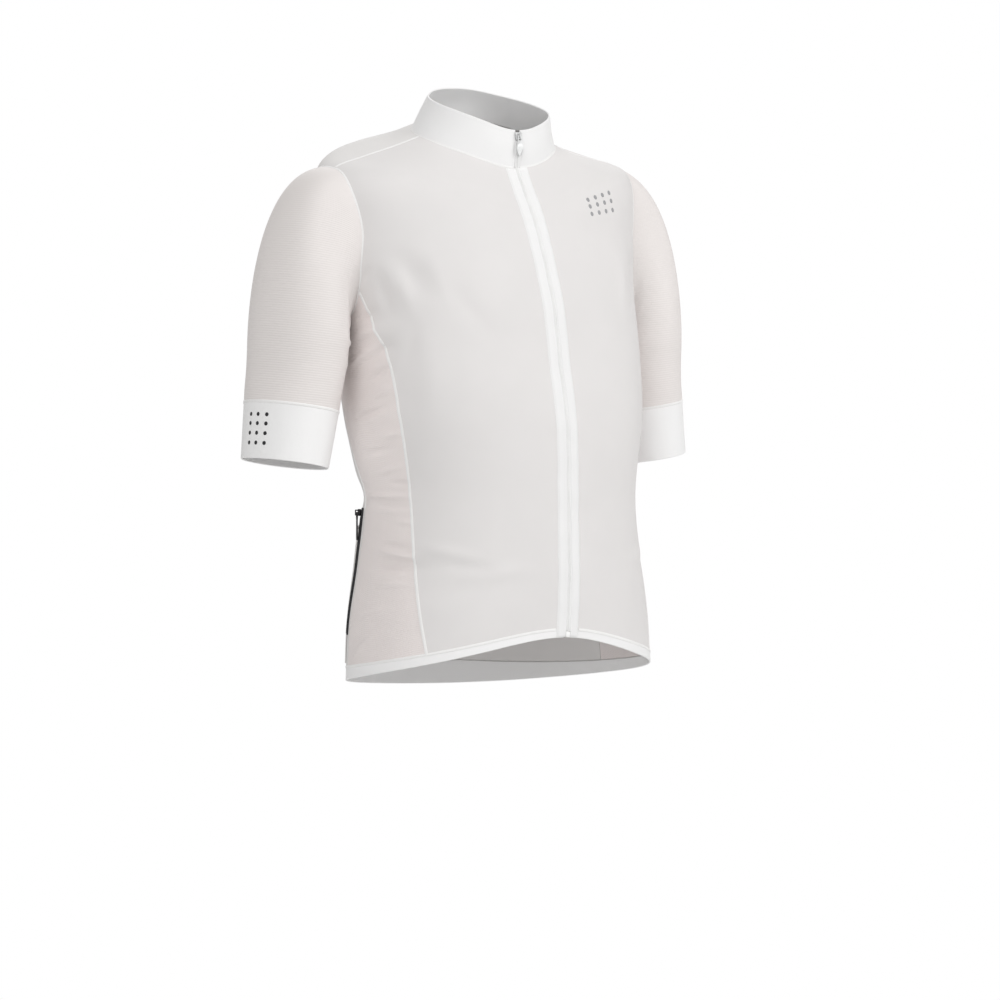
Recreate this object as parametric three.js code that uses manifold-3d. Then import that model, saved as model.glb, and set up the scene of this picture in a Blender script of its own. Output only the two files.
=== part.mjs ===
// A short-sleeved cycling jersey with a full-length front zip, a stand collar, side panels, wide elastic
// sleeve bands, a gripper hem and rear pockets, hollow and in the shape that it has when it is worn.
// Lengths are millimetres and angles degrees. +Z is up, the front faces -Y and the wearer's left is +X.
// The origin is the middle of the neck opening, where neck and shoulders carry the jersey.
import * as THREE from "three";
import { mergeVertices } from "three/addons/utils/BufferGeometryUtils.js";
import Module from "manifold-3d";

const wasm = await Module();
wasm.setup();

// Cloth and seams
const CLOTH = 1.2;
const BAND_CLOTH = 1.8;
const COLLAR_CLOTH = 2.0;
const TAPE = 0.9;
const SEAM_GAP = 0.34;
const LIFT = 0.35;
const HEM_FRONT = 10.5;
const HEM_BACK = 22;

// Front zip, measured sideways from the centre front
const CHAIN_HALF = 2.8;
const TAPE_INNER = 3.1;
const TAPE_OUTER = 14;
const TAPE_COLUMN = 14.3;
const EDGE_HALF = 4.2;
const COLLAR_EDGE = 3.1;
const CHAIN_THICKNESS = 1.9;
const CHAIN_PROUD = 1.4;
const BOX_HEIGHT = 8;

// Armhole, in heights up from the hem and angles round the trunk
const UNDERARM = 356;
const SHOULDER_POINT = 522;
const NECKLINE = 624;
const ARMHOLE_FRONT = 14.5;
const ARMHOLE_BACK = 23;
const UNDERARM_ANGLE = 97;
const PANEL_TURN = 128;
const SLEEVE_DROP = { right: 0.12, left: 0.27 };

// Rear pockets, in columns and rows of the back's own grid, and the zipped one's fittings
const POCKET_COLUMNS = [1, 21];
const POCKET_DIVISIONS = [8, 14];
const POCKET_ROWS = [0.12, 4.55, 5.1];
const POCKET_EASE = 2.4;
const POCKET_ZIP_COLUMN = 21.5;
const POCKET_ZIP_ROWS = [1.04, 5.3];
const POCKET_TAPE_HALF = 4.2;
const POCKET_CHAIN_HALF = 1.9;
const POCKET_CHAIN = 1.2;

// Sliders and pulls: "rise" lifts the pull's pin above the slider's plate
const PIN_RISE = 1.35;
const BAIL_INSIDE = 1.7;
const BAIL_OUTSIDE = 3.0;
const BAIL_HALF = 0.8;
const BAIL_CROWN = 0.9;
const PIN_HALF = 0.65;
const PULL_THICKNESS = 1.2;
const WINDOW_HALF = 1.25;
const WINDOW_FOOT = 4.7;

const degrees = (angle) => (angle * Math.PI) / 180;
const mix = (a, b, share) => a + (b - a) * share;
const clamp = (value) => Math.min(1, Math.max(0, value));
const smooth = (value) => clamp(value) ** 2 * (3 - 2 * clamp(value));
const steps = (count) => Array.from({ length: count + 1 }, (_, i) => i / count);

const table = (columns, rows) =>
  rows.map((row) => Object.fromEntries(columns.map((name, i) => [name, row[i]])));

// Rings round the trunk from hem to neckline. "height" runs up the side seam. "front" and "back" are the
// depths from the widest line, "midY". The three z values tilt and dip the ring, and "lean" raises the
// wearer's left side of it.
const TRUNK = table(
  ["height", "halfWidth", "midY", "front", "back", "zFront", "zSide", "zBack", "lean", "squareness"],
  [
    [0, 178, -30, 106, 123, -514, -556, -576, -5, 2.1],
    [60, 171, -27, 112, 122, -466, -492, -506, -3, 2.1],
    [115, 162, -23, 116, 110, -422, -435, -441, -1, 2.1],
    [171, 156, -19, 119, 101, -377, -377, -377, 0, 2.15],
    [255, 167, -13, 122, 107, -293, -293, -293, 0, 2.3],
    [320, 170, -7, 116, 112, -228, -228, -228, 0, 2.4],
    [370, 171, 0, 114, 115, -178, -178, -178, 1, 2.4],
    [440, 187, 7, 99, 112, -111, -109, -105, 4, 2.1],
    [522, 184, 12, 87, 92, -75, -30.5, -8, 7.5, 2.05],
    [556, 150, 8, 75, 82, -61, -21, 10, 4, 2.0],
    [590, 116, 4, 64, 70, -48, -12, 21, 1.5, 2.0],
    [624, 84, 1, 54, 59, -34, -1, 26, 1, 2.0],
  ],
);

// Rings of the stand collar, from the neckline to its top edge.
const COLLAR = table(
  ["height", "halfWidth", "midY", "front", "back", "zFront", "zSide", "zBack", "lean", "squareness"],
  [
    [0, 84, 1, 54, 59, -34, -1, 26, 1, 2.0],
    [19, 76, -3, 52, 57, -15, 16, 41, 0, 2.0],
    [38, 70, -9, 46, 55, 5, 33, 55, 0, 2.0],
  ],
);

// Rings round the arm, from below the armhole to the sleeve's edge. "out" is the radius away from the
// trunk and "fore" the radius to the front and back.
const ARM = table(
  ["name", "x", "y", "z", "out", "fore"],
  [
    ["upper", 221, 23, -215, 48.5, 58],
    ["middle", 224, 24, -246, 47.5, 55],
    ["bandTop", 229, 24, -280, 47, 51],
    ["bandEdge", 238, 23, -337, 44, 46],
  ],
);

// Seams between front, side panel and back: the angle from the centre front at each height.
const SEAMS = table(
  ["height", "frontSeam", "backSeam"],
  [
    [0, 66, 104],
    [60, 69, 103.5],
    [115, 71, 100.5],
    [171, 72, 98],
    [255, 72, 107],
    [320, 75, 111],
    [370, 81, 113.5],
    [410, 85, 115],
  ],
);

// The largest soft folds, and the fullness behind the shoulders in the last two rows. "side" is -1 on the
// wearer's right, 1 on the left and 0 across the middle.
// "run" is half the fold's length, "width" its softness, "turn" its slope and "rise" its height or depth.
const FOLDS = table(
  ["side", "angle", "height", "run", "width", "turn", "rise"],
  [
    [-1, 64, 405, 34, 13, 118, -4.0],
    [-1, 78, 345, 26, 7, 14, 2.4],
    [-1, 80, 322, 28, 6, 22, -2.4],
    [-1, 82, 258, 36, 8, 18, 2.6],
    [-1, 84, 166, 40, 6, 2, 2.2],
    [-1, 78, 108, 40, 7, -6, -2.6],
    [-1, 56, 78, 40, 13, 10, -2.0],
    [1, 66, 400, 34, 13, -116, -3.6],
    [1, 79, 338, 27, 7, -16, 2.4],
    [1, 81, 314, 28, 6, -20, -2.2],
    [1, 83, 246, 34, 8, -15, 2.4],
    [1, 82, 172, 40, 6, -3, 2.2],
    [1, 77, 112, 38, 7, 7, -2.4],
    [-1, 132, 330, 46, 13, 48, -2.4],
    [1, 134, 322, 46, 13, -50, -2.6],
    [-1, 150, 205, 60, 9, 7, 2.6],
    [1, 146, 214, 56, 9, -9, 2.4],
    [0, 180, 186, 60, 9, 0, -2.6],
    [-1, 112, 177, 45, 15, 0, -5.5],
    [-1, 112, 542, 62, 34, 90, 8],
    [1, 112, 542, 62, 34, 90, 8],
  ],
);

// A smooth curve through one column of a table, read at a height.
function along(rows, column, at) {
  const x = rows.map((row) => row.height);
  const y = rows.map((row) => row[column]);
  const last = x.length - 1;
  const place = Math.min(x[last], Math.max(x[0], at));
  let k = x.findIndex((value) => value >= place);
  k = Math.max(0, k - 1);
  const chord = (i) => (y[i + 1] - y[i]) / (x[i + 1] - x[i]);
  const slope = (i) => {
    if (i === 0) return chord(0);
    if (i === last) return chord(last - 1);
    const before = x[i] - x[i - 1];
    const after = x[i + 1] - x[i];
    return (chord(i) * before + chord(i - 1) * after) / (before + after);
  };
  const span = x[k + 1] - x[k];
  const t = (place - x[k]) / span;
  const bend = t * t * (3 - 2 * t);
  const leave = t * (1 - t) * (1 - t) * span * slope(k);
  const arrive = t * t * (t - 1) * span * slope(k + 1);
  return mix(y[k], y[k + 1], bend) + leave + arrive;
}

// A point on a ring of the trunk or collar, at an angle from the centre front towards the wearer's left.
function ringPoint(rows, angle, height) {
  const at = (column) => along(rows, column, height);
  const turn = degrees(angle);
  const depth = Math.cos(turn) > 0 ? at("front") : at("back");
  const power = at("squareness");
  const across = Math.abs(Math.sin(turn)) / at("halfWidth");
  const fore = Math.abs(Math.cos(turn)) / depth;
  const radius = (across ** power + fore ** power) ** (-1 / power);
  const tilt = (at("zFront") - at("zBack")) / 2;
  const dip = ((at("zFront") + at("zBack")) / 2 - at("zSide")) / 2;
  return new THREE.Vector3(
    radius * Math.sin(turn),
    at("midY") - radius * Math.cos(turn),
    at("zSide") + dip + tilt * Math.cos(turn) + dip * Math.cos(2 * turn) + at("lean") * Math.sin(turn),
  );
}

// The outward normal of any surface that is given as a function of two numbers.
function normalOf(surface, a, b, da, db) {
  const alongA = surface(a + da, b).sub(surface(a - da, b));
  const alongB = surface(a, b + db).sub(surface(a, b - db));
  return alongA.cross(alongB).normalize();
}

const NUDGE = 0.5;
const ringNormal = (rows, angle, height) => {
  const inside = Math.min(rows[rows.length - 1].height - NUDGE, Math.max(NUDGE, height));
  return normalOf((a, b) => ringPoint(rows, a, b), angle, inside, NUDGE, NUDGE);
};

// How far the folds lift or sink the trunk at an angle and height.
const GIRTH_RADIUS = 150;
function foldHeight(angle, height) {
  let total = 0;
  for (const fold of FOLDS) {
    const centre = fold.side === 0 ? fold.angle : fold.side * fold.angle;
    const swing = ((angle - centre + 540) % 360) - 180;
    const x = degrees(swing) * GIRTH_RADIUS;
    const y = height - fold.height;
    const turn = degrees(fold.turn);
    const lengthwise = x * Math.cos(turn) + y * Math.sin(turn);
    const across = y * Math.cos(turn) - x * Math.sin(turn);
    const taper = smooth(1 - Math.abs(lengthwise) / fold.run / 1.3);
    total += fold.rise * taper * Math.exp(-((across / fold.width) ** 2));
  }
  return total;
}

// The jersey's outer surface on the trunk, and any depth under it or height over it.
function trunkPoint(angle, height, proud = 0) {
  const outward = ringNormal(TRUNK, angle, height);
  return ringPoint(TRUNK, angle, height).addScaledVector(outward, foldHeight(angle, height) + proud);
}

const collarPoint = (angle, height, proud = 0) =>
  ringPoint(COLLAR, angle, height).addScaledVector(ringNormal(COLLAR, angle, height), proud);

// The hem band's width up from the hem, at an angle.
const hemWidth = (angle) => mix(HEM_FRONT, HEM_BACK, ((1 - Math.cos(degrees(angle))) / 2) ** 4);

// The armhole, as turns from the shoulder point (0) by the front (90) to the underarm (180) and the back.
const ARMHOLE_MID = (UNDERARM + SHOULDER_POINT) / 2;
const ARMHOLE_HALF = (SHOULDER_POINT - UNDERARM) / 2;
function armhole(turn) {
  const height = ARMHOLE_MID + ARMHOLE_HALF * Math.cos(degrees(turn));
  const centre = mix(UNDERARM_ANGLE, 90, (height - UNDERARM) / (SHOULDER_POINT - UNDERARM));
  const sideways = Math.sin(degrees(turn));
  const angle = centre - (sideways > 0 ? ARMHOLE_FRONT : ARMHOLE_BACK) * sideways;
  return { angle, height };
}

// Seam angles below the armhole, bent to end at the armhole's own corners.
const FRONT_CORNER = armhole(PANEL_TURN);
const BACK_CORNER = armhole(360 - PANEL_TURN);
function seamAngle(column, height) {
  const corner = column === "frontSeam" ? FRONT_CORNER : BACK_CORNER;
  const miss = corner.angle - along(SEAMS, column, corner.height);
  const pull = smooth((height - 300) / (corner.height - 300));
  return along(SEAMS, column, height) + miss * pull;
}

// Shared sampling, so that neighbouring pieces meet in the same points.
const LOWER_ROWS = 13;
const ARMHOLE_TURNS = 28;
const SHOULDER_SHARES = [0.07, 0.2, 0.36, 0.55, 0.77, 1];
const FRONT_COLUMNS = 9;
const BACK_COLUMNS = 22;
const TURN_STEP = 360 / ARMHOLE_TURNS;
const CORNER_INDEX = Math.round(PANEL_TURN / TURN_STEP);
const cornerTurn = CORNER_INDEX * TURN_STEP;
const UPPER_TURNS = Array.from({ length: CORNER_INDEX }, (_, i) => cornerTurn - (i + 1) * TURN_STEP);

// The rows of the front and back: hem to armhole corner, up the armhole, and over the shoulder.
function bodyRows(frontSide) {
  const rows = [];
  const column = frontSide ? "frontSeam" : "backSeam";
  const corner = armhole(frontSide ? cornerTurn : 360 - cornerTurn);
  for (const share of steps(LOWER_ROWS)) {
    rows.push({ share, edge: (height) => seamAngle(column, height) });
  }
  for (const turn of UPPER_TURNS) {
    const place = armhole(frontSide ? turn : 360 - turn);
    rows.push({ height: place.height, edge: () => place.angle });
  }
  for (const share of SHOULDER_SHARES) {
    rows.push({ height: mix(SHOULDER_POINT, NECKLINE, share), edge: () => 90 });
  }
  return { rows, corner };
}

// A height in the lower part, where the first row follows the hem band's upper edge.
const lowerHeight = (share, hemAngle, top) => {
  const foot = hemWidth(hemAngle) + SEAM_GAP / 2;
  return mix(foot, top, share);
};

// A closed wall. grid[i][j] holds an outer point and an inner point; wrap joins the last column to the first.
function wallMesh(name, grid, material, wrap = false) {
  const rows = grid.length;
  const columns = grid[0].length;
  const positions = [];
  grid.forEach((row) => row.forEach((spot) => positions.push(...spot.outer.toArray(), ...spot.inner.toArray())));
  const outer = (i, j) => 2 * (i * columns + (j % columns));
  const inner = (i, j) => outer(i, j) + 1;
  const faces = [];
  const quad = (a, b, c, d) => faces.push([a, b, c], [a, c, d]);
  const spans = wrap ? columns : columns - 1;
  for (let i = 0; i < rows - 1; i++) {
    for (let j = 0; j < spans; j++) {
      quad(outer(i, j), outer(i, j + 1), outer(i + 1, j + 1), outer(i + 1, j));
      quad(inner(i, j), inner(i + 1, j), inner(i + 1, j + 1), inner(i, j + 1));
    }
    if (wrap) continue;
    quad(outer(i, 0), outer(i + 1, 0), inner(i + 1, 0), inner(i, 0));
    quad(outer(i + 1, spans), outer(i, spans), inner(i, spans), inner(i + 1, spans));
  }
  for (let j = 0; j < spans; j++) {
    quad(outer(0, j + 1), outer(0, j), inner(0, j), inner(0, j + 1));
    quad(outer(rows - 1, j), outer(rows - 1, j + 1), inner(rows - 1, j + 1), inner(rows - 1, j));
  }
  const corner = (k) => new THREE.Vector3().fromArray(positions, 3 * k);
  const volume = faces.reduce((sum, [a, b, c]) => sum + corner(a).dot(corner(b).cross(corner(c))), 0);
  const index = faces.flatMap(([a, b, c]) => (volume > 0 ? [a, b, c] : [a, c, b]));
  const geometry = new THREE.BufferGeometry();
  geometry.setAttribute("position", new THREE.Float32BufferAttribute(positions, 3));
  geometry.setIndex(index);
  geometry.computeVertexNormals();
  const mesh = new THREE.Mesh(geometry, material);
  mesh.name = name;
  return mesh;
}

const trunkSpot = (angle, height, proud, thickness) => ({
  outer: trunkPoint(angle, height, proud),
  inner: trunkPoint(angle, height, proud - thickness),
});

const collarSpot = (angle, height, proud, thickness) => ({
  outer: collarPoint(angle, height, proud),
  inner: collarPoint(angle, height, proud - thickness),
});

// The angle that lies a given distance sideways from the centre front.
const sidewaysAngle = (distance, depth) => (Math.atan2(distance, depth) * 180) / Math.PI;
const trunkSideways = (distance, height) => sidewaysAngle(distance, along(TRUNK, "front", height));
const collarSideways = (distance, height) => sidewaysAngle(distance, along(COLLAR, "front", height));
const gapAngle = (distance) => (distance / GIRTH_RADIUS / Math.PI) * 180;

// Grid of angles and heights for one front, on the side given by its sign.
function frontGrid() {
  const { rows, corner } = bodyRows(true);
  const hemEdge = seamAngle("frontSeam", 0);
  return rows.map((row, i) => {
    const isTop = i === rows.length - 1;
    return Array.from({ length: FRONT_COLUMNS + 1 }, (_, j) => {
      const across = Math.max(0, (j - 1) / (FRONT_COLUMNS - 1));
      const hemInside = trunkSideways(j === 0 ? EDGE_HALF : TAPE_COLUMN, 0);
      const height =
        row.share === undefined
          ? row.height - (isTop ? SEAM_GAP / 2 : 0)
          : lowerHeight(row.share, mix(hemInside, hemEdge, across), corner.height);
      const inside = trunkSideways(j === 0 ? EDGE_HALF : TAPE_COLUMN, height);
      const outside = row.edge(height) - gapAngle(SEAM_GAP / 2);
      return { angle: mix(inside, outside, across), height };
    });
  });
}

// Grid for the back, from its left seam round to its right seam.
function backGrid() {
  const { rows, corner } = bodyRows(false);
  const hemEdge = seamAngle("backSeam", 0);
  return rows.map((row, i) => {
    const isTop = i === rows.length - 1;
    return steps(BACK_COLUMNS).map((across) => {
      const hemAngle = mix(hemEdge, 360 - hemEdge, across);
      const height =
        row.share === undefined
          ? row.height - (isTop ? SEAM_GAP / 2 : 0)
          : lowerHeight(row.share, hemAngle, corner.height);
      const edge = row.edge(height) + gapAngle(SEAM_GAP / 2);
      return { angle: mix(edge, 360 - edge, across), height };
    });
  });
}

// Grid for one side panel, whose top edge is the lower part of the armhole.
function sideGrid() {
  const turns = [];
  for (let k = CORNER_INDEX; k <= ARMHOLE_TURNS - CORNER_INDEX; k++) turns.push(k * TURN_STEP);
  const last = turns.length - 1;
  const hemFront = seamAngle("frontSeam", 0);
  const hemBack = seamAngle("backSeam", 0);
  const margin = gapAngle(SEAM_GAP / 2);
  return steps(LOWER_ROWS).map((share) =>
    turns.map((turn, j) => {
      const top = armhole(turn);
      const across = j / last;
      const height = lowerHeight(share, mix(hemFront, hemBack, across), top.height - SEAM_GAP / 2);
      const straight = (at) => mix(seamAngle("frontSeam", at), seamAngle("backSeam", at), across);
      const pull = share ** 3 * (top.angle - straight(top.height));
      return { angle: straight(height) + pull + mix(margin, -margin, across), height };
    }),
  );
}

const FRONT = frontGrid();
const BACK = backGrid();
const SIDE = sideGrid();

const trunkWall = (name, grid, sign, material) =>
  wallMesh(name, grid.map((row) => row.map((s) => trunkSpot(sign * s.angle, s.height, 0, CLOTH))), material);

// One arm's ring: outward, front, trunk side, back, for turns from 0 to 360.
function armRing(k, turn, sign) {
  const centre = (i) => new THREE.Vector3(sign * ARM[i].x, ARM[i].y, ARM[i].z);
  const before = Math.max(0, k - 1);
  const after = Math.min(ARM.length - 1, k + 1);
  const axis = centre(after).sub(centre(before)).normalize();
  const out = new THREE.Vector3(-sign * axis.z, 0, sign * axis.x).normalize();
  const fore = new THREE.Vector3(0, -1, 0);
  fore.addScaledVector(axis, -fore.dot(axis)).normalize();
  const angle = degrees(turn);
  return centre(k)
    .addScaledVector(out, ARM[k].out * Math.cos(angle))
    .addScaledVector(fore, ARM[k].fore * Math.sin(angle));
}

// The direction in which the sleeve leaves the armhole.
function sleeveStart(turn, sign) {
  const over = new THREE.Vector3(sign, 0, sign < 0 ? -SLEEVE_DROP.right : -SLEEVE_DROP.left).normalize();
  const under = new THREE.Vector3(sign * 0.75, 0, -0.66);
  const low = ((1 - Math.cos(degrees(turn))) / 2) ** 1.6;
  return over.lerp(under, low).normalize();
}

function hermite(p0, t0, p1, t1, t) {
  const bend = t * t * (3 - 2 * t);
  return p0
    .clone()
    .lerp(p1, bend)
    .addScaledVector(t0, t * (1 - t) * (1 - t))
    .addScaledVector(t1, t * t * (t - 1));
}

// The sleeve's outer surface: reach 0 is the armhole, 1 the first arm ring, and each later ring adds 1.
function sleevePoint(turn, reach, sign) {
  const place = armhole(turn);
  const start = trunkPoint(sign * place.angle, place.height);
  const first = armRing(0, turn, sign);
  if (reach <= 1) {
    const chord = start.distanceTo(first);
    const leave = sleeveStart(turn, sign).multiplyScalar(chord);
    const arrive = armRing(1, turn, sign).sub(first).normalize().multiplyScalar(chord);
    return hermite(start, leave, first, arrive, reach);
  }
  const k = Math.min(ARM.length - 2, Math.floor(reach - 1));
  const ring = (i) => armRing(Math.min(ARM.length - 1, Math.max(0, i)), turn, sign);
  const leave = ring(k + 1).sub(ring(k - 1)).multiplyScalar(k === 0 ? 1 : 0.5);
  const arrive = ring(k + 2).sub(ring(k)).multiplyScalar(k + 2 > ARM.length - 1 ? 1 : 0.5);
  return hermite(ring(k), leave, ring(k + 1), arrive, reach - 1 - k);
}

function sleeveNormal(turn, reach, sign) {
  const surface = (a, b) => sleevePoint(a, b, sign);
  const inside = Math.min(ARM.length - 0.02, Math.max(0.02, reach));
  return normalOf(surface, turn, inside, 2, 0.01).multiplyScalar(sign);
}

const sleeveSpot = (turn, reach, sign, proud, thickness) => {
  const outward = sleeveNormal(turn, reach, sign);
  return {
    outer: sleevePoint(turn, reach, sign).addScaledVector(outward, proud),
    inner: sleevePoint(turn, reach, sign).addScaledVector(outward, proud - thickness),
  };
};

const SLEEVE_REACHES = [0.004, 0.1, 0.22, 0.36, 0.52, 0.7, 0.86, 1, 1.5, 2, 2.5, 2.994];
const BAND_REACHES = [3.0, 3.5, 4.0];
const TURNS = Array.from({ length: ARMHOLE_TURNS }, (_, k) => k * TURN_STEP);

const sleeveWall = (name, reaches, sign, thickness, material) =>
  wallMesh(
    name,
    reaches.map((reach) => TURNS.map((turn) => sleeveSpot(turn, reach, sign, 0, thickness))),
    material,
    true,
  );

// Angles of the columns at the hem and at the neckline, from the left front edge round the back.
const lastRow = (grid) => grid[grid.length - 1];
const anglesOf = (row) => row.map((spot) => spot.angle);
const aroundFrom = (leftHalf, back) => [...leftHalf, ...back, ...[...leftHalf].reverse().map((a) => 360 - a)];
const distinct = (angles) => angles.filter((angle, i) => i === 0 || angle - angles[i - 1] > 0.5);

// A closed solid from a mould, with flat faces, placed by its own right, up and outward directions.
function placed(name, mould, frame, material) {
  const made = mould.getMesh();
  const points = [];
  for (const k of made.triVerts) points.push(...made.vertProperties.slice(3 * k, 3 * k + 3));
  const geometry = new THREE.BufferGeometry();
  geometry.setAttribute("position", new THREE.Float32BufferAttribute(points, 3));
  geometry.applyMatrix4(frame);
  geometry.computeVertexNormals();
  const mesh = new THREE.Mesh(geometry, material);
  mesh.name = name;
  return mesh;
}

// A frame whose x runs sideways, y straight up and z outwards, level, from a point.
function levelFrame(point, outward) {
  const level = new THREE.Vector3(outward.x, outward.y, 0).normalize();
  const up = new THREE.Vector3(0, 0, 1);
  const sideways = new THREE.Vector3().crossVectors(up, level);
  return new THREE.Matrix4().makeBasis(sideways, up, level).setPosition(point);
}

// A closed geometry as a solid that can be joined and cut.
function solidOf(geometry) {
  geometry.deleteAttribute("normal");
  geometry.deleteAttribute("uv");
  const merged = mergeVertices(geometry);
  const vertProperties = new Float32Array(merged.attributes.position.array);
  const triVerts = new Uint32Array(merged.index.array);
  return new wasm.Manifold(new wasm.Mesh({ numProp: 3, vertProperties, triVerts }));
}

// A block between two limits in each direction.
function block(x, y, z) {
  const box = new THREE.BoxGeometry(x[1] - x[0], y[1] - y[0], z[1] - z[0]);
  const middle = (span) => (span[0] + span[1]) / 2;
  return solidOf(box.translate(middle(x), middle(y), middle(z)));
}

// A flat outline raised from one level to another.
function raised(outline, from, to) {
  const shape = new THREE.Shape(outline.map(([x, y]) => new THREE.Vector2(x, y)));
  const prism = new THREE.ExtrudeGeometry(shape, { depth: to - from, bevelEnabled: false });
  return solidOf(prism.translate(0, 0, from));
}

// A slider's bail, an arch over the pull's pin, standing on a plate whose face is at a given level.
function bail(face) {
  const top = face + PIN_RISE + PIN_HALF + 0.5;
  const wide = [-BAIL_HALF, BAIL_HALF];
  const legs = block(wide, [-BAIL_OUTSIDE, BAIL_OUTSIDE], [face - 0.4, top + BAIL_CROWN]);
  return legs.subtract(block([-2, 2], [-BAIL_INSIDE, BAIL_INSIDE], [face - 1, top]));
}

// A slider's plate with its nose narrowed below.
function plate(half, height, from, to) {
  const outline = [
    [-half, height / 2 - 1],
    [-half + 1, height / 2],
    [half - 1, height / 2],
    [half, height / 2 - 1],
    [half - 0.9, -height / 2],
    [-half + 0.9, -height / 2],
  ];
  return raised(outline, from, to);
}

// A flat pull round its pin: side bars past the bail, then a blade that swells towards a round end.
function pull(blade) {
  const half = blade.map(([along, reach]) => [reach, -along]);
  const outline = [...half, ...[...half].reverse().map(([x, y]) => [-x, y])];
  const body = raised(outline, -PULL_THICKNESS / 2, PULL_THICKNESS / 2);
  const window = block([-WINDOW_HALF, WINDOW_HALF], [-WINDOW_FOOT, -PIN_HALF], [-2, 2]);
  return body.subtract(window);
}

const cloth = (colour, roughness) => new THREE.MeshStandardMaterial({ color: colour, roughness, metalness: 0 });
const mainCloth = cloth(0xe9e7e3, 0.8);
const sideCloth = cloth(0xdcd5d2, 0.8);
const backCloth = cloth(0xe2dfdb, 0.8);
const bandCloth = cloth(0xf1f1ef, 0.7);
const tapeCloth = cloth(0xf3f3f1, 0.7);
const darkTape = cloth(0x1f1f22, 0.6);
const whiteMetal = new THREE.MeshStandardMaterial({ color: 0xd5d6d6, roughness: 0.35, metalness: 0.7 });
const whitePlastic = new THREE.MeshStandardMaterial({ color: 0xeeeeec, roughness: 0.45, metalness: 0 });
const blackMetal = new THREE.MeshStandardMaterial({ color: 0x232325, roughness: 0.4, metalness: 0.6 });
const blackPlastic = new THREE.MeshStandardMaterial({ color: 0x1d1d1f, roughness: 0.5, metalness: 0 });

const jersey = new THREE.Group();

// Body panels
jersey.add(trunkWall("front_right", FRONT, -1, mainCloth));
jersey.add(trunkWall("front_left", FRONT, 1, mainCloth));
jersey.add(trunkWall("side_panel_right", SIDE, -1, sideCloth));
jersey.add(trunkWall("side_panel_left", SIDE, 1, sideCloth));
jersey.add(trunkWall("back", BACK, 1, backCloth));

// Sleeves and their elastic bands
for (const [side, sign] of [["right", -1], ["left", 1]]) {
  jersey.add(sleeveWall(`sleeve_${side}`, SLEEVE_REACHES, sign, CLOTH, mainCloth));
  jersey.add(sleeveWall(`sleeve_band_${side}`, BAND_REACHES, sign, BAND_CLOTH, bandCloth));
}

// Gripper hem
const frontHalf = [...anglesOf(FRONT[0]), ...anglesOf(SIDE[0])];
const hemAngles = distinct(aroundFrom(frontHalf, anglesOf(BACK[0])));
jersey.add(
  wallMesh(
    "hem_band",
    [0, 1].map((share) =>
      hemAngles.map((angle) => trunkSpot(angle, share * (hemWidth(angle) - SEAM_GAP / 2), 0, BAND_CLOTH)),
    ),
    bandCloth,
  ),
);

// Stand collar, open at the front for the zip
const neckAngles = distinct(aroundFrom(anglesOf(lastRow(FRONT)), anglesOf(lastRow(BACK))));
const COLLAR_TOP = COLLAR[COLLAR.length - 1].height;
const COLLAR_ROWS = [SEAM_GAP / 2, 0.25 * COLLAR_TOP, 0.5 * COLLAR_TOP, 0.75 * COLLAR_TOP, COLLAR_TOP];
jersey.add(
  wallMesh(
    "collar",
    COLLAR_ROWS.map((height) => {
      const edge = collarSideways(COLLAR_EDGE, height);
      const angles = [edge, ...neckAngles.slice(1, -1), 360 - edge];
      return angles.map((angle) => collarSpot(angle, height, 0, COLLAR_CLOTH));
    }),
    bandCloth,
  ),
);

// Front zip tapes, laid over the edges of the two fronts
const frontHeights = FRONT.map((row) => row[0].height);
const tapeHeights = [1, ...frontHeights];
for (const [side, sign] of [["right", -1], ["left", 1]]) {
  jersey.add(
    wallMesh(
      `zip_tape_${side}`,
      tapeHeights.map((height) =>
        [TAPE_INNER, TAPE_OUTER].map((reach) =>
          trunkSpot(sign * trunkSideways(reach, height), height, LIFT + TAPE, TAPE),
        ),
      ),
      tapeCloth,
    ),
  );
}

// Front zip chain, from the box at the hem to the slider at the collar's top
const SLIDER_HEIGHT = COLLAR_TOP - 6;
const SLIDER_LENGTH = 8;
const chainTop = SLIDER_HEIGHT - SLIDER_LENGTH / 2 - 0.4;
const chainRow = (point) =>
  [-1, 0, 1].map((side) => {
    const crown = CHAIN_PROUD - (side === 0 ? 0 : 0.4);
    return { outer: point(side * CHAIN_HALF, crown), inner: point(side * CHAIN_HALF, CHAIN_PROUD - CHAIN_THICKNESS) };
  });
const chainOnTrunk = (height) =>
  chainRow((reach, proud) => trunkPoint(trunkSideways(reach, height), height, proud));
const chainOnCollar = (height) =>
  chainRow((reach, proud) => collarPoint(collarSideways(reach, height), height, proud));
const collarChain = [...COLLAR_ROWS.slice(1).filter((height) => height < chainTop - 2), chainTop];
jersey.add(
  wallMesh(
    "zip_chain",
    [
      ...[BOX_HEIGHT + 0.3, ...frontHeights.filter((height) => height > BOX_HEIGHT + 2)].map(chainOnTrunk),
      ...collarChain.map(chainOnCollar),
    ],
    whitePlastic,
  ),
);

// The box that closes the zip at the hem
jersey.add(
  wallMesh(
    "zip_box",
    [0.6, 1.6, BOX_HEIGHT - 1, BOX_HEIGHT].map((height, i) =>
      [-1, -0.75, 0.75, 1].map((side) => {
        const rounded = i === 0 || i === 3 || Math.abs(side) === 1 ? 0.5 : 0;
        return trunkSpot(trunkSideways(side * CHAIN_HALF, height), height, 1.9 - rounded, 2.4 - rounded);
      }),
    ),
    whitePlastic,
  ),
);

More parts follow.
